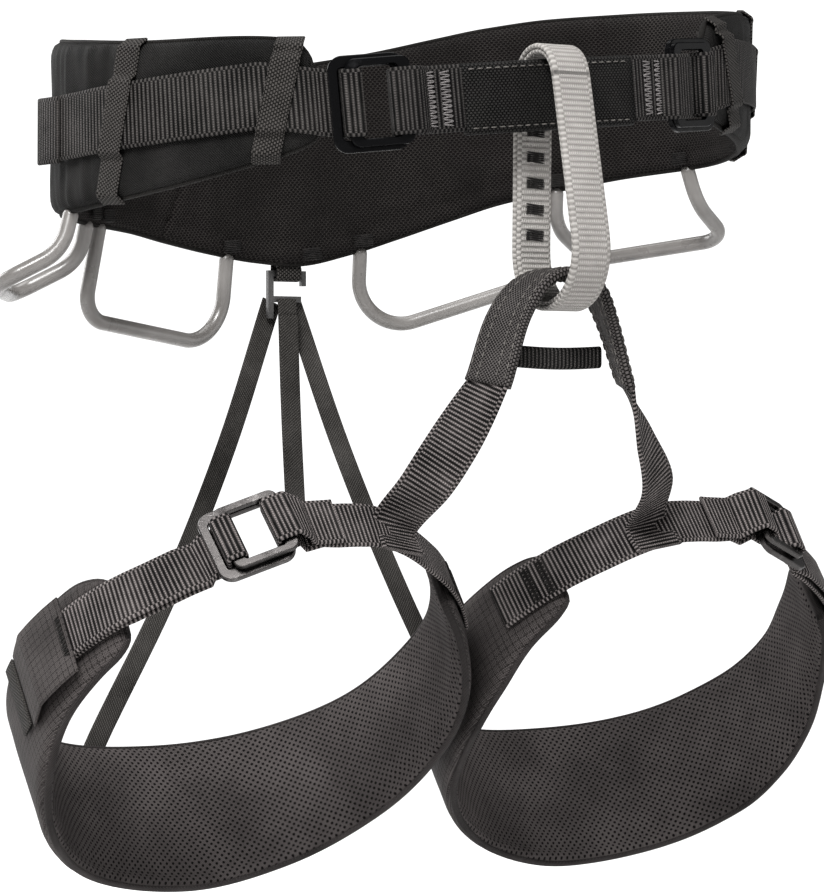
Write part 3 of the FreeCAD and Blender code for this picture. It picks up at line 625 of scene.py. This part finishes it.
def mesh_material(name, dark, light, pitch, hole, slots=1.0):
    """Spacer mesh with rows of small holes, each row set half a pitch from the next."""
    m = Shader(name, 0.78, sheen=0.6)

    def holes(shift):
        x = m.math("FRACT", m.div(m.add(m.along, shift * pitch / 2), pitch))
        y = m.math("FRACT", m.div(m.add(m.across, shift * pitch * 0.5), pitch))
        dx = m.mul(m.math("SUBTRACT", x, 0.5), pitch / slots)
        dy = m.mul(m.math("SUBTRACT", y, 0.5), pitch)
        return m.math("SQRT", m.add(m.mul(dx, dx), m.mul(dy, dy)))

    near = m.math("MINIMUM", holes(0.0), holes(1.0))
    cloth = m.smooth(near, hole * 0.75, hole * 1.35)
    knit = m.wave(m.add(m.along, m.mul(m.across, 0.6)), 0.62)
    cloud = m.noise(24, 5)
    # Colour follows the knit and the cloud bumps: painted shade in the hollows and a painted highlight on the
    # raised knit.
    mottle_and_relief_shade = m.mad(cloud, 0.5, m.mad(knit, 0.22, 0.2))
    face = m.mix(m.smooth(mottle_and_relief_shade, 0.25, 0.95), dark, light)
    # The holes are painted near-black: painted shade inside each hole.
    color = m.mix(cloth, (0.006, 0.005, 0.005), face)
    height = m.mad(knit, 0.25, m.mad(cloud, 0.8, cloth))
    return m.finish(color, height, 0.4)


def ripstop_material(name, dark, light, grid=2.9):
    """Ripstop cloth: a fine plain weave with a grid of thicker dark dashed threads."""
    m = Shader(name, 0.66, sheen=0.5)

    def line(x, other):
        x = m.math("ABSOLUTE", m.math("SUBTRACT", m.math("FRACT", m.div(x, grid)), 0.5))
        dash = m.smooth(m.wave(other, 1.3), 0.15, 0.5)
        return m.mul(m.smooth(x, 0.035, 0.075, 1.0, 0.0), dash)

    lines = m.math("MAXIMUM", line(m.along, m.across), line(m.across, m.along))
    weave = m.mul(m.wave(m.along, 0.7), m.wave(m.across, 0.7))
    cloud = m.noise(30, 5)
    # Colour follows the weave and the cloud bumps: painted shade in their hollows and a painted highlight on
    # their tops.
    mottle_and_relief_shade = m.mad(cloud, 0.5, m.mad(weave, 0.3, 0.175))
    face = m.mix(m.smooth(mottle_and_relief_shade, 0.25, 0.9), dark, light)
    color = m.mix(lines, face, (0.018, 0.016, 0.015))
    height = m.mad(cloud, 1.5, m.math("SUBTRACT", m.mul(weave, 0.5), lines))
    return m.finish(color, height, 0.25)


def sleeve_material(name, dark, light, row=1.25, dash=2.1):
    """Coarse wear-proof weave: rows of short raised floats, shifted from row to row."""
    m = Shader(name, 0.6, sheen=0.5)
    index = m.math("FLOOR", m.div(m.across, row))
    turn = m.mul(m.math("FRACT", m.div(m.across, row)), math.pi)
    rows = m.math("POWER", m.math("SINE", turn), 0.6)
    floats = m.smooth(m.wave(m.mad(index, dash * 0.5, m.along), dash), 0.05, 0.5)
    height = m.mul(rows, floats)
    cloud = m.noise(90, 3)
    # Raised floats get the light colour and the gaps between them get the dark one: a painted highlight on the
    # floats and painted shade in the gaps, over random mottling.
    mottle_and_relief_shade = m.mad(cloud, 0.5, m.mul(height, 0.7))
    return m.finish(m.mix(m.smooth(mottle_and_relief_shade, 0.2, 1.0), dark, light), height, 0.4)


def thread_material(name, dark, light):
    m = Shader(name, 0.55, sheen=0.5)
    twist = m.wave(m.along, 0.5)
    cloud = m.noise(400, 2)
    # The twist's crests get the light colour and its grooves get the dark one: a painted highlight on the
    # crests and painted shade in the grooves, over random mottling.
    color = m.mix(m.smooth(m.add(m.mul(twist, 0.5), cloud), 0.3, 1.1), dark, light)
    return m.finish(color, twist, 0.12)


def plastic_material(name, dark, light, roughness):
    """Moulded plastic: satin, with faint flow marks and fine grain."""
    m = Shader(name, roughness, Specular_IOR_Level=0.5, Coat_Weight=0.15, Coat_Roughness=0.25)
    cloud, grain = m.noise(22, 4), m.noise(1400, 2)
    color = m.mix(m.smooth(cloud, 0.3, 0.7), dark, light)
    rough = m.smooth(m.noise(70, 4), 0.3, 0.7, roughness - 0.07, roughness + 0.1)
    return m.finish(color, m.mad(cloud, 0.6, grain), 0.06, 0.7, rough)


def metal_material(name, dark, light, roughness, metallic):
    """Anodised aluminium, with worn lighter patches and fine scratches."""
    m = Shader(name, roughness, Metallic=metallic, Specular_IOR_Level=0.12)
    stretch = m.node("ShaderNodeMapping")
    stretch.inputs["Scale"].default_value = (1, 1, 14)
    m.link(m.where, stretch.inputs["Vector"])
    scratch = m.smooth(m.noise(260, 5, stretch.outputs[0], 0.7), 0.62, 0.75)
    wear = m.smooth(m.noise(120, 6), 0.56, 0.78)
    worn = m.math("MAXIMUM", m.mul(scratch, 0.35), wear)
    color = m.mix(worn, dark, light)
    rough = m.smooth(m.noise(90, 4), 0.3, 0.7, roughness - 0.06, roughness + 0.12)
    return m.finish(color, m.mad(m.noise(900, 2), 0.4, scratch), 0.03, 0.6, rough)


# For the cloth materials, the light colour is painted highlight on the weave's crests and the dark colour is
# painted shade in its hollows; random mottling mixes them too.
MAT = {
    "waist_web": webbing_material("waist_webbing_ribbed", (0.002, 0.002, 0.002), (0.075, 0.070, 0.067), 1.85,
                                  WAIST_WEBBING),
    "front_web": webbing_material("front_webbing_ribbed", (0.002, 0.002, 0.002), (0.062, 0.058, 0.056), 1.7,
                                  WAIST_WEBBING),
    "leg_web": webbing_material("leg_webbing_ribbed", (0.003, 0.003, 0.003), (0.215, 0.194, 0.189), 1.75,
                                LEG_WEBBING, 0.75, sharp=1.3),
    "belay_web": webbing_material("belay_webbing_ribbed", (0.19, 0.181, 0.172), (0.34, 0.327, 0.312), 2.2,
                                  BELAY_WIDTH, 0.6, 1.9, sharp=0.6),
    "riser": twill_material("riser_tape_twill", (0.012, 0.011, 0.010), (0.080, 0.076, 0.072), 1.3),
    "keeper": sleeve_material("keeper_tape_weave", (0.007, 0.0065, 0.006), (0.060, 0.056, 0.053), 1.0, 1.5),
    "shell": twill_material("belt_outer_twill", (0.003, 0.003, 0.003), (0.027, 0.026, 0.025), dent=0.35),
    "belt_mesh": mesh_material("belt_lining_mesh", (0.004, 0.0037, 0.0035), (0.055, 0.050, 0.047),
                               2.0, 0.42, 1.6),
    "leg_mesh": mesh_material("leg_lining_mesh", (0.016, 0.0142, 0.014), (0.116, 0.104, 0.102), 2.9, 0.50),
    "ripstop": ripstop_material("leg_outer_ripstop", (0.020, 0.018, 0.0176), (0.105, 0.0945, 0.0925)),
    "binding": twill_material("edge_binding_tape", (0.004, 0.0037, 0.0035), (0.026, 0.0245, 0.023), 0.7),
    "leg_binding": twill_material("leg_edge_cloth", (0.014, 0.0126, 0.0123), (0.06, 0.054, 0.053), 0.7),
    "bartack": thread_material("bartack_thread", (0.06, 0.056, 0.056), (0.21, 0.198, 0.196)),
    "sleeve": sleeve_material("wear_sleeve_weave", (0.0015, 0.0015, 0.0015), (0.026, 0.025, 0.024),
                              0.95, 1.6),
    "bridge_cloth": sleeve_material("bridge_sleeve_twill", (0.007, 0.0065, 0.006), (0.088, 0.081, 0.079),
                                    0.8, 1.5),
    "thread_dark": thread_material("thread_dark", (0.006, 0.006, 0.006), (0.03, 0.028, 0.027)),
    "thread_grey": thread_material("thread_grey", (0.05, 0.047, 0.044), (0.17, 0.16, 0.15)),
    "loop_plastic": plastic_material("gear_loop_plastic", (0.11, 0.104, 0.099), (0.165, 0.157, 0.15), 0.3),
    "hook_plastic": plastic_material("hook_plastic", (0.02, 0.0195, 0.019), (0.045, 0.043, 0.042), 0.42),
    "waist_metal": metal_material("buckle_black_anodised", (0.002, 0.002, 0.0024), (0.018, 0.018, 0.019),
                                  0.24, 0.1),
    "leg_metal": metal_material("buckle_gunmetal", (0.055, 0.052, 0.051), (0.14, 0.134, 0.131), 0.27, 0.9),
}


# ---- waist belt
def buckle_paths(gap, base, lead_n, tail_n, reach):
    """Edge-on paths in a buckle whose frame plate starts at n = base: adjuster webbing and fixed loop."""
    under = base - 1.2
    lead_under = base - 3.1
    top = base + 6.8
    adjuster = [
        (reach, lead_n), (19.0, lead_under), (10.0, lead_under + 0.2), (3.9 + gap, base + 0.4),
        (3.9 + gap, top), (10.75 + gap, top), (10.75 + gap, under), (19.0 + gap, under), (26.0 + gap, tail_n),
    ]
    fixed = [
        (-34.0, base + 3.0), (-21.0, base + 3.0), (-17.6, top + 0.5), (-9.4 - gap, top + 0.5),
        (-9.4 - gap, under), (-19.0, under), (-25.0, base + 1.2),
    ]
    return adjuster, fixed


def shifted(path, s):
    return [(s + u, n) for u, n in path]


def waist_path(low, high, n, count):
    return [(waist_s(d), n) for d in np.linspace(low, high, count)]


# the whole belt as one open track, from the left wing end round the back to the right wing end
BELT_DEGS = np.linspace(WING_END_DEG, 360 - WING_END_DEG, 150)
BELT = waist_track(WAIST_RISE, BELT_DEGS)


def belt_s(deg):
    return np.interp(deg, BELT_DEGS, BELT.lengths)


def belt_edges_at(s):
    deg = np.interp(s, BELT.lengths, BELT_DEGS)
    return belt_edges(np.minimum(deg, 360 - deg))


# seams: degrees round the belt, slant. creases: degrees round the belt, reach in mm, height in mm
BELT_SEAMS = [(118, 0.0), (142, 0.5), (165, 0.9), (200, -0.6), (242, 0.0)]
BELT_CREASES = [(80, 26, 0.9), (276, 30, 1.3), (262, 16, 0.9), (300, 20, 0.5), (60, 20, 0.5)]
SLEEVE_V = -1.3               # height of the tie-in sleeve's middle
SLEEVE_STITCH_V = 11.2        # its rows of stitches lie this far above and below that


def make_belt():
    stops = np.linspace(0, BELT.total, 420)
    seams = [(belt_s(deg), slant) for deg, slant in BELT_SEAMS]
    creases = [(belt_s(deg), reach, height) for deg, reach, height in BELT_CREASES]
    belt = pad("belt_pad", BELT, stops, belt_edges_at, BELT_SHELL, ["shell", "belt_mesh"], 3.0,
               quilt=(0.1,), seams=seams, creases=creases)
    on_waist(belt, "belt_fabric", "belt_outer_shell", "belt_mesh_lining", "belt_foam_core",
           "belt_load_webbing")
    rim = binding("belt_edge_binding", BELT, stops, belt_edges_at, BELT_SHELL * PAD_SEAM, "binding")
    on_waist(rim, "belt_fabric")

    track = WAIST["left"]
    fixed = buckle_paths(-1.0, WAIST_BASE, 0, 0, 0)[1]
    left = shifted(rounded(fixed, TURN_RADIUS), BUCKLE_S)
    right = [(track.total - s, n) for s, n in left]
    path = left + waist_path(14, -14, WAIST_BASE + 1.2, 12) + right[::-1]
    front = strap("front_strap_webbing_cloth", track, path, WAIST_WEBBING, "front_web", v=-0.6)
    on_waist(front, "waist_webbing", "front_strap_webbing")
    path = waist_path(-14.5, 14.5, WAIST_BASE + 1.25, 24)
    sleeve = strap("tie_in_sleeve_cloth", track, path, 27.2, "sleeve", thick=4.7, v=SLEEVE_V)
    on_waist(sleeve, "wear_sleeve", "tie_in_sleeve_front", "tie_in_sleeve_back")
    lines = []
    s = waist_s(np.linspace(-14, 14, 30))
    for v in (SLEEVE_V - SLEEVE_STITCH_V, SLEEVE_V + SLEEVE_STITCH_V):
        points = track.put(s, v, WAIST_BASE + 3.62)
        lines.append(stitches("line", points, track.at(s)[3], "thread_grey"))
    on_waist(joined("tie_in_sleeve_stitching", lines), "stitching")
    for side in ("left", "right"):
        name = "front_strap_bartacks_" + side
        patch = bartack_patch(name, WAIST[side], waist_s(18.6), WAIST_BASE + 4.05, 10.6)
        placed(patch, side, "waist", "stitching")


def make_gear_bartacks():
    """Dense stitching on the belt's lining where each gear loop and the riser tab are sewn in."""
    patches = []
    for side, degs in GEAR_END_DEGS.items():
        for deg in degs:
            s = waist_s(deg)
            low = belt_edges(deg)[0]
            normals = -WAIST[side].at(np.full(5, s))[3]
            rows = []
            for k in range(7):
                n = -0.75 + 0.35 * (k == 0)
                points = WAIST[side].put(s + np.linspace(-5.2, 5.2, 5), low + 1.6 + 0.75 * k, n)
                rows.append(stitches("row", points, normals, "thread_dark", 9.4, 0.3, 0.42))
            patch = joined("gear_loop_bartack", rows)
            patches.append(mirrored(patch) if side == "right" else patch)
    on_waist(joined("gear_loop_bartacks", patches), "stitching")


def bartack_patch(name, track, s, n, half, columns=(-2.9, 2.9), reach=2.3, material="bartack"):
    """Columns of dense zigzag stitches across a webbing."""
    normals = track.at(np.full(5, s))[3]
    rows = []
    for column in columns:
        for k in range(int(2 * half / 0.95)):
            v = -half + 0.95 * k + 0.35 * (-1) ** k * np.linspace(-1, 1, 5)
            points = track.put(s + column + np.linspace(-reach, reach, 5), v, n)
            rows.append(stitches("row", points, normals, material, 2 * reach - 0.5, 0.2, 0.34))
    return joined(name, rows)


def tail_height(s):
    """Height of the waist webbing over the belt's centre line."""
    return np.interp(s, (waist_s(45), waist_s(TAIL_END_DEG)), TAIL_RISE)


def make_waist_side(side):
    track = WAIST[side]
    adjuster = buckle_paths(-1.0, WAIST_BASE, 7.4, BELT_SHELL + 1.3, 25.0)[0]
    path = shifted(rounded(adjuster, TURN_RADIUS), BUCKLE_S)
    path += waist_path(42, TAIL_END_DEG - 12, BELT_SHELL + 1.3, 11)
    path.append((waist_s(TAIL_END_DEG), BELT_SHELL + 4.5))
    path = fine_path(path)
    heights = np.clip((path[:, 0] - BUCKLE_S - 8) / 30, 0, 1) * tail_height(path[:, 0])
    place = (track, side, "waist", "waist_webbing")
    sewn("waist_adjuster_webbing", place, path, WAIST_WEBBING, "waist_web", v=heights)
    end = waist_s(TAIL_END_DEG)
    path = [(end - 13, BELT_SHELL + 3.4), (end - 0.5, BELT_SHELL + 6.6)]
    sewn("waist_tail_end", place, path, WAIST_WEBBING + 0.6, "waist_web", v=TAIL_RISE[1])
    for which, degs in KEEPER_DEGS.items():
        placed(keeper(f"tail_keeper_{which}_cloth_{side}", track, *degs), side, "waist", "keeper_tape",
               f"tail_keeper_{which}_{side}")


def keeper(name, track, low_deg, high_deg):
    """A sloping elastic band over the tail, sewn to the shell above and below it."""
    shell, over = BELT_SHELL + 0.3, BELT_SHELL + 2.7
    lo = belt_edges(low_deg)[0] - 1.4
    hi = belt_edges(high_deg)[1] + 1.4
    rise = tail_height(waist_s((low_deg + high_deg) / 2))
    bottom, top = rise - WAIST_WEBBING / 2, rise + WAIST_WEBBING / 2
    edge = -4.5
    rows = [(lo, shell + edge), (lo + 3, shell)]
    rows += [(bottom - 3, shell)] if bottom - 3 > lo + 3.2 else []
    rows += [(max(bottom - 0.6, lo + 3.6), over), (top + 0.6, over), (top + 3, shell)]
    rows += [(hi - 3, shell)] if hi - 3 > top + 3.2 else []
    rows += [(max(hi, top + 4), shell + edge)]
    rows = fine_path(rounded(rows, 2.0), 1.2)
    v, n = rows[:, 0], rows[:, 1]
    s = waist_s(low_deg) + (waist_s(high_deg) - waist_s(low_deg)) * (v - lo) / (hi - lo)
    centres = track.put(s, v, n)
    _, t, w, out = track.at(s)
    tangent = unit(np.gradient(centres, axis=0))
    across = unit(t - tangent * np.sum(t * tangent, 1, keepdims=True))
    return band(name, centres, across, unit(np.cross(across, tangent)), KEEPER_WIDTH, 1.0, "keeper")


def profile_band(name, yz, width, thick, material):
    """A tape bent in the y-z plane, its width along x."""
    path = fine_path(rounded(yz, 2.4), 1.0)
    centres = np.stack([np.zeros(len(path)), path[:, 0], path[:, 1]], 1)
    d = unit(np.gradient(centres, axis=0))
    across = np.repeat([[1.0, 0, 0]], len(path), 0)
    return band(name, centres, across, np.cross(across, d), width, thick, material)


def make_back():
    shell = WAIST_HALF[1] + BELT_SHELL
    y, z = HOOK_PIVOT[1:]
    turn = 2.85
    loop = [(shell + 0.7, -37), (shell + 0.7, -55), (y + turn, z + 3), (y + turn, z - turn),
            (y - turn, z - turn), (y - turn, z + 2.4), (shell - 0.6, -55)]
    tab = profile_band("riser_tab_cloth", loop, 12, 1.2, "keeper")
    on_waist(tab, "riser_tape", "riser_tab", "riser_tab_loop")
    pocket = [(shell + 0.9, -9), (shell + 0.9, 8.4), (shell + 6.5, 8.4), (shell + 6.5, -2.3)]
    cover = profile_band("haul_loop_pocket_cloth", pocket, 38, 1.2, "keeper")
    on_waist(cover, "keeper_tape", "haul_loop_pocket")


# ---- belay loop and bridge
def belay_track():
    (y1, z1, r1), (y2, z2, r2) = BELAY_TOP, BELAY_BOTTOM
    gap = math.hypot(y2 - y1, z2 - z1)
    lean = math.atan2(y2 - y1, z1 - z2)
    wrap = math.asin((r2 - r1) / gap)
    points = []
    for y, z, r, start, sweep in (
        (y1, z1, r1, wrap - lean, math.pi - 2 * wrap),
        (y2, z2, r2, math.pi - wrap - lean, math.pi + 2 * wrap),
    ):
        for k in range(17):
            a = start + sweep * k / 16
            points.append((0, y - r * math.cos(a), z + r * math.sin(a)))
    points.append(points[0])
    return Track(points, (1, 0, 0), closed=True)


def make_belay_loop():
    track = belay_track()
    s = np.linspace(0, track.total, 161)[:-1]
    p, t, w, n = track.at(s)
    for k in range(3):
        p = (np.roll(p, 1, 0) + 2 * p + np.roll(p, -1, 0)) / 4
    inward = 1 if np.dot(np.array([0, BELAY_BOTTOM[0], -30]) - p[0], n[0]) > 0 else -1
    layers = []
    for name, lift, width in (("belay_outer", -0.95, BELAY_WIDTH), ("belay_inner", 0.95, BELAY_WIDTH - 1.4)):
        layers.append(band(name, p + n * inward * lift, w, n, width, 2.0, "belay_web", closed=True))
    loop = joined("belay_loop_cloth", layers)
    placed(loop, "left", "belay_loop_body", "belay_webbing", "belay_loop")
    tacks = []
    for k in range(5):
        centre = track.total * (0.235 + 0.042 * k)
        for j in range(9):
            off = (j - 4) * 0.42
            q, _, across, out = track.at(centre + off)
            q = q + out * inward * (BELAY_THICK / 2 + 0.1)
            tilt = 0.5 if j % 2 else -0.5
            ends = np.array([q[0] - across[0] * 4.4, q[0] + across[0] * 4.4])
            ends[:, 2] += (-tilt, tilt)
            points = np.linspace(ends[0], ends[1], 6)
            normals = np.repeat(out * inward, 6, 0)
            tacks.append(stitches("tack", points, normals, "thread_dark", 8.0, 0.3, 0.32))
    threads = joined("belay_loop_bartack_threads", tacks)
    placed(threads, "left", "belay_loop_body", "stitching", "belay_loop_bartacks")


def bridge_track():
    x, y, z = BRIDGE_END
    _, ty, tz = BRIDGE_TOP
    knots = np.array([
        (x + 7, y + 2, z - 12), (x, y, z), (x - 8.5, y, z + 24), (x - 18, ty, tz - 4.5), (0, ty, tz),
        (-x + 18, ty, tz - 4.5), (-x + 8.5, y, z + 24), (-x, y, z), (-x - 7, y + 2, z - 12),
    ], float)
    points = []
    for i in range(1, len(knots) - 2):
        points += [catmull(*knots[i - 1 : i + 3], k / 6) for k in range(6)]
    points = np.array(points + [knots[-2]])
    return Track(points, np.stack([points[:, 0] / x * 0.45, np.ones(len(points)), np.zeros(len(points))], 1))


def make_bridge():
    track = bridge_track()
    path = run_along(0, track.total, 60)
    sleeve = strap("bridge_sleeve_cloth", track, path, 21.5, "bridge_cloth", thick=4.2)
    on_waist(sleeve, "wear_sleeve", "bridge_sleeve_outer", "bridge_sleeve_inner", "bridge_webbing")
    lines = []
    s = np.linspace(1.0, track.total - 1.0, 80)
    out_sign = 1 if track.at(track.total / 2)[3][0][2] > 0 else -1
    for v in (-8.6, -4.4, 4.4, 8.6):
        for face in (out_sign, -out_sign):
            points = track.put(s, v, 2.12 * face)
            lines.append(stitches("line", points, track.at(s)[3] * face, "thread_grey", 2.6, 1.3))
    on_waist(joined("bridge_sleeve_stitching", lines), "stitching")
    y = BRIDGE_END[1]
    x = np.linspace(-19, 19, 26)
    z = BRIDGE_END[2] + 10.75 - 0.8 * np.cos(x / 19 * 1.5)
    centres = np.stack([x, np.full(26, y), z], 1)
    up, out = np.repeat([[0, 0, 1.0]], 26, 0), np.repeat([[0, -1.0, 0]], 26, 0)
    spacer = band("bridge_spacer_cloth", centres, up, out, 8.4, 3.0, "front_web")
    on_waist(spacer, "wear_sleeve", "bridge_spacer")


# ---- leg loops
def leg_edges_s(s):
    return smooth_table(LEG_PAD_EDGES, station_of(s))


def leg_path(pairs):
    """(s, n) pairs from (station, n) pairs."""
    return [(leg_s(station), n) for station, n in pairs]


def make_leg(side):
    body = "leg_loop_" + side
    stops = np.linspace(leg_s(LEG_PAD_ENDS[0]), leg_s(LEG_PAD_ENDS[1]), 190)
    cushion = pad("leg_pad_" + side, LEG, stops, leg_edges_s, LEG_SHELL, ["ripstop", "leg_mesh"],
                  11.0 if side == "left" else 23.0, quilt=(0.1,), columns=24, rim=6.0)
    layers = [f"leg_{layer}_{side}" for layer in ("outer_shell", "foam_pad", "mesh_lining")]
    placed(cushion, side, body, "leg_ripstop", *layers)
    rim = binding("leg_edge_binding_" + side, LEG, stops, leg_edges_s, LEG_SHELL * PAD_SEAM,
                  "leg_binding", 3.0, 1.8)
    placed(rim, side, body, "leg_ripstop")

    middle = leg_s(LEG_BUCKLE_STATION)
    outside = LEG_SHELL + 1.2
    adjuster, fixed = buckle_paths(0.0, LEG_BASE, 3.6, 6.6, 26.0)
    web = (LEG, side, body, "leg_webbing")
    tape = (LEG, side, body, "keeper_tape")
    lead = leg_path(run_along(4.75, 3.4, 7, outside) + [(3.25, outside - 1.5)])
    tail = leg_path([(3.2, outside + 1.4)] + run_along(3.4, 4.6, 7, outside + 2.0))
    path = lead + shifted(rounded(adjuster, TURN_RADIUS), middle) + tail
    sewn("leg_adjuster_webbing", web, path, LEG_WEBBING, "leg_web")

    run = [(leg_s(1.0) - 4, LEG_BASE + 0.2), (leg_s(0.5), LEG_BASE - 0.6), (0.0, LEG_BASE - 0.6)]
    run += [(leg_s(14.6) - LEG.total, LEG_BASE + 1.0), (leg_s(14.25) - LEG.total, outside - 0.4)]
    run += [(leg_s(st) - LEG.total, outside) for st in np.linspace(14.1, 13.5, 4)]
    path = shifted(rounded(fixed, TURN_RADIUS), middle) + run
    sewn("leg_front_strap", web, path, LEG_WEBBING, "leg_web")

    over = ((3.95, 3.5), (4.2, 3.6), (4.6, 3.5), (4.72, 1.8), (4.95, -0.6))
    over = leg_path([(station, outside + n) for station, n in over])
    sewn("leg_tail_keeper", tape, rounded(over, 4.0), 33.0, "ripstop", 1.0, v=-1.0)
    a = leg_s(5.1)
    path = [(a - 3.5, LEG_SHELL + 0.8), (a + 3.5, LEG_SHELL + 0.8)]
    sewn("leg_clipper_slot", tape, path, 30.0, "keeper", 1.2)
    inner = leg_s(14.02) - LEG.total
    tacks = [
        bartack_patch("tack", LEG, inner, outside + 0.95, 8.2, (-3.0, 3.0), 2.0, "thread_dark"),
        bartack_patch("tack", LEG, leg_s(4.02), outside + 4.2, 9.0, (0.0,), 1.6, "thread_dark"),
    ]
    placed(joined("leg_bartacks_" + side, tacks), side, body, "stitching")
    make_bridge_strap(side)
    make_riser(side)


def crossing(obj, side, start, end, node):
    """A strap that runs between the belt and a leg loop, baked where it lies."""
    if side == "right":
        mirrored(obj)
        start, end = (start * (-1, 1, 1), end * (-1, 1, 1))
    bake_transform(obj)
    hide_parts(node)


def make_bridge_strap(side):
    x, y, z = BRIDGE_END
    joint, _, across, out = (v[0] for v in LEG.at(0.0))
    knots = [
        (x + 0.7, y + 0.1, z - 1.4), (x + 11, y + 4, z - 20), (x + 21, y + 10, z - 38),
        joint + out * 6.6 + across * 2, joint + out * 6.4 - across * 11,
    ]
    ups = [(0.45, 1, 0), (0.9, 0.75, 0.2), (1, 0.35, 0.4), (1, 0.0, 0.35), (1, 0, 0.3)]
    track = open_track(knots, ups, 8)
    obj = strap("bridge_strap_cloth_" + side, track, run_along(-4.0, track.total, 60), 20.0, "leg_web")
    start = np.array([x, y, z])
    crossing(obj, side, start, start + (6, 2, -16), "bridge_strap_" + side)


def make_riser(side):
    s = leg_s(RISER_FOOT_STATIONS[side])
    top = leg_edges_s(s)[1]
    foot = LEG.put(s, top - 10, LEG_SHELL + 0.8)[0]
    lip = LEG.put(s, top + 1, LEG_SHELL + 1.2)[0]
    start = HOOK_PIVOT + (4.6, 3.2 if side == "left" else 4.7, -HOOK_DROP - 1)
    run = lip - start
    sag = np.array([-RISER_SAG, -1, -1])
    knots = [start, start + run * 0.33 + sag, start + run * 0.66 + sag, lip, foot]
    track = open_track(knots, [(1, 0, 0), (1, 0, 0.2), (1, 0, 0.3), (1, 0, 0.15), (1, 0, 0)], 8)
    obj = strap("riser_tape_" + side, track, run_along(0, track.total, 110), RISER_WIDTH, "riser", 1.0)
    crossing(obj, side, start, lip, "riser_" + side)


def make_riser_centre():
    start = HOOK_PIVOT + (-0.6, -1.9, -HOOK_DROP)
    track = open_track([start, start + (-0.2, -3.6, -50), start + (0.4, -8, -104)], [(1, 0, 0)] * 3, 8)
    for layer, low, high, n in (("front", 0, track.total, 0.0), ("back", 7, track.total - 4, 1.15)):
        name = "riser_centre_" + layer
        tape = strap(name + "_tape", track, run_along(low, high, 60, n), RISER_WIDTH, "riser", 1.0)
        placed(tape, "left", "riser_hook_body", "riser_tape", name)


def finish_cad_nodes():
    """Procedural materials for the hard CAD pieces that stay as they are."""
    finishes = {"waist_buckle": "waist_metal", "leg_buckle": "leg_metal", "riser_hook": "hook_plastic"}
    for name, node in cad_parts.items():
        if node.hide_render:
            continue
        finish = [finishes[start] for start in finishes if name.startswith(start)] or ["loop_plastic"]
        node.data.materials.clear()
        node.data.materials.append(MAT[finish[0]])
        node.data.polygons.foreach_set("material_index", np.zeros(len(node.data.polygons), np.int32))


# ---- stage
CAMERA_AZIMUTH_DEG = -30.0
CAMERA_DISTANCE = 1.5
CAMERA_LENS = 148.3
AIM = Vector((0.0011, -0.0006, -0.136))
FLOOR_Z = -0.40
FLOOR_RADIUS = 1.15
SKY_DIM = 0.12             # the studio is white up to the horizon and dimmer above it


def aimed(obj, place):
    """Puts a camera or a light at a place, facing the harness."""
    obj.location = place
    obj.rotation_mode = "QUATERNION"
    obj.rotation_quaternion = (AIM - obj.location).to_track_quat("-Z", "Y")
    bpy.context.scene.collection.objects.link(obj)


def make_stage():
    scene = bpy.context.scene
    a = math.radians(CAMERA_AZIMUTH_DEG)
    back = Vector((math.sin(a), -math.cos(a), 0))
    camera = bpy.data.objects.new("camera", bpy.data.cameras.new("camera"))
    aimed(camera, AIM + back * CAMERA_DISTANCE)
    camera.data.lens = CAMERA_LENS
    scene.camera = camera

    mesh = bpy.data.meshes.new("floor")
    rim = [math.tau * k / 96 for k in range(96)]
    verts = [(FLOOR_RADIUS * math.cos(a), FLOOR_RADIUS * math.sin(a), 0) for a in rim]
    mesh.from_pydata(verts, [], [tuple(range(96))])
    floor = bpy.data.objects.new("floor", mesh)
    floor.location.z = FLOOR_Z
    pale = bpy.data.materials.new("floor_pale")
    pale.use_nodes = True
    sockets = pale.node_tree.nodes["Principled BSDF"].inputs
    sockets["Base Color"].default_value = (0.93, 0.93, 0.93, 1)
    sockets["Roughness"].default_value = 0.9
    mesh.materials.append(pale)
    scene.collection.objects.link(floor)

    scene.view_settings.view_transform = "Standard"
    scene.view_settings.look = "Medium High Contrast"
    world = scene.world or bpy.data.worlds.new("world")
    scene.world = world
    world.use_nodes = True
    tree = world.node_tree
    direction = tree.nodes.new("ShaderNodeTexCoord")
    split = tree.nodes.new("ShaderNodeSeparateXYZ")
    dim = tree.nodes.new("ShaderNodeMapRange")
    dim.interpolation_type = "SMOOTHSTEP"
    for socket, value in zip(list(dim.inputs)[1:5], (0.13, 0.32, 1.0, SKY_DIM)):
        socket.default_value = value
    tree.links.new(direction.outputs["Generated"], split.inputs[0])
    tree.links.new(split.outputs[2], dim.inputs[0])
    tree.links.new(dim.outputs[0], tree.nodes["Background"].inputs[1])
    tree.nodes["Background"].inputs[0].default_value = (1, 1, 1, 1)
    for name, place, size, power in (
        ("key", (-1.2, -1.2, 1.5), 0.9, 82),
        ("fill", (1.6, -1.3, 0.4), 1.6, 9),
        ("top", (0.1, 0.3, 1.9), 1.5, 26),
        ("rim", (-0.9, 1.6, 0.7), 1.2, 22),
    ):
        light = bpy.data.objects.new(name, bpy.data.lights.new(name, "AREA"))
        light.data.size = size
        light.data.energy = power
        aimed(light, place)


make_stage()
make_belt()
make_back()
make_gear_bartacks()
make_belay_loop()
make_bridge()
make_riser_centre()
for side in ("left", "right"):
    make_waist_side(side)
    make_leg(side)
finish_cad_nodes()

bpy.context.view_layer.update()
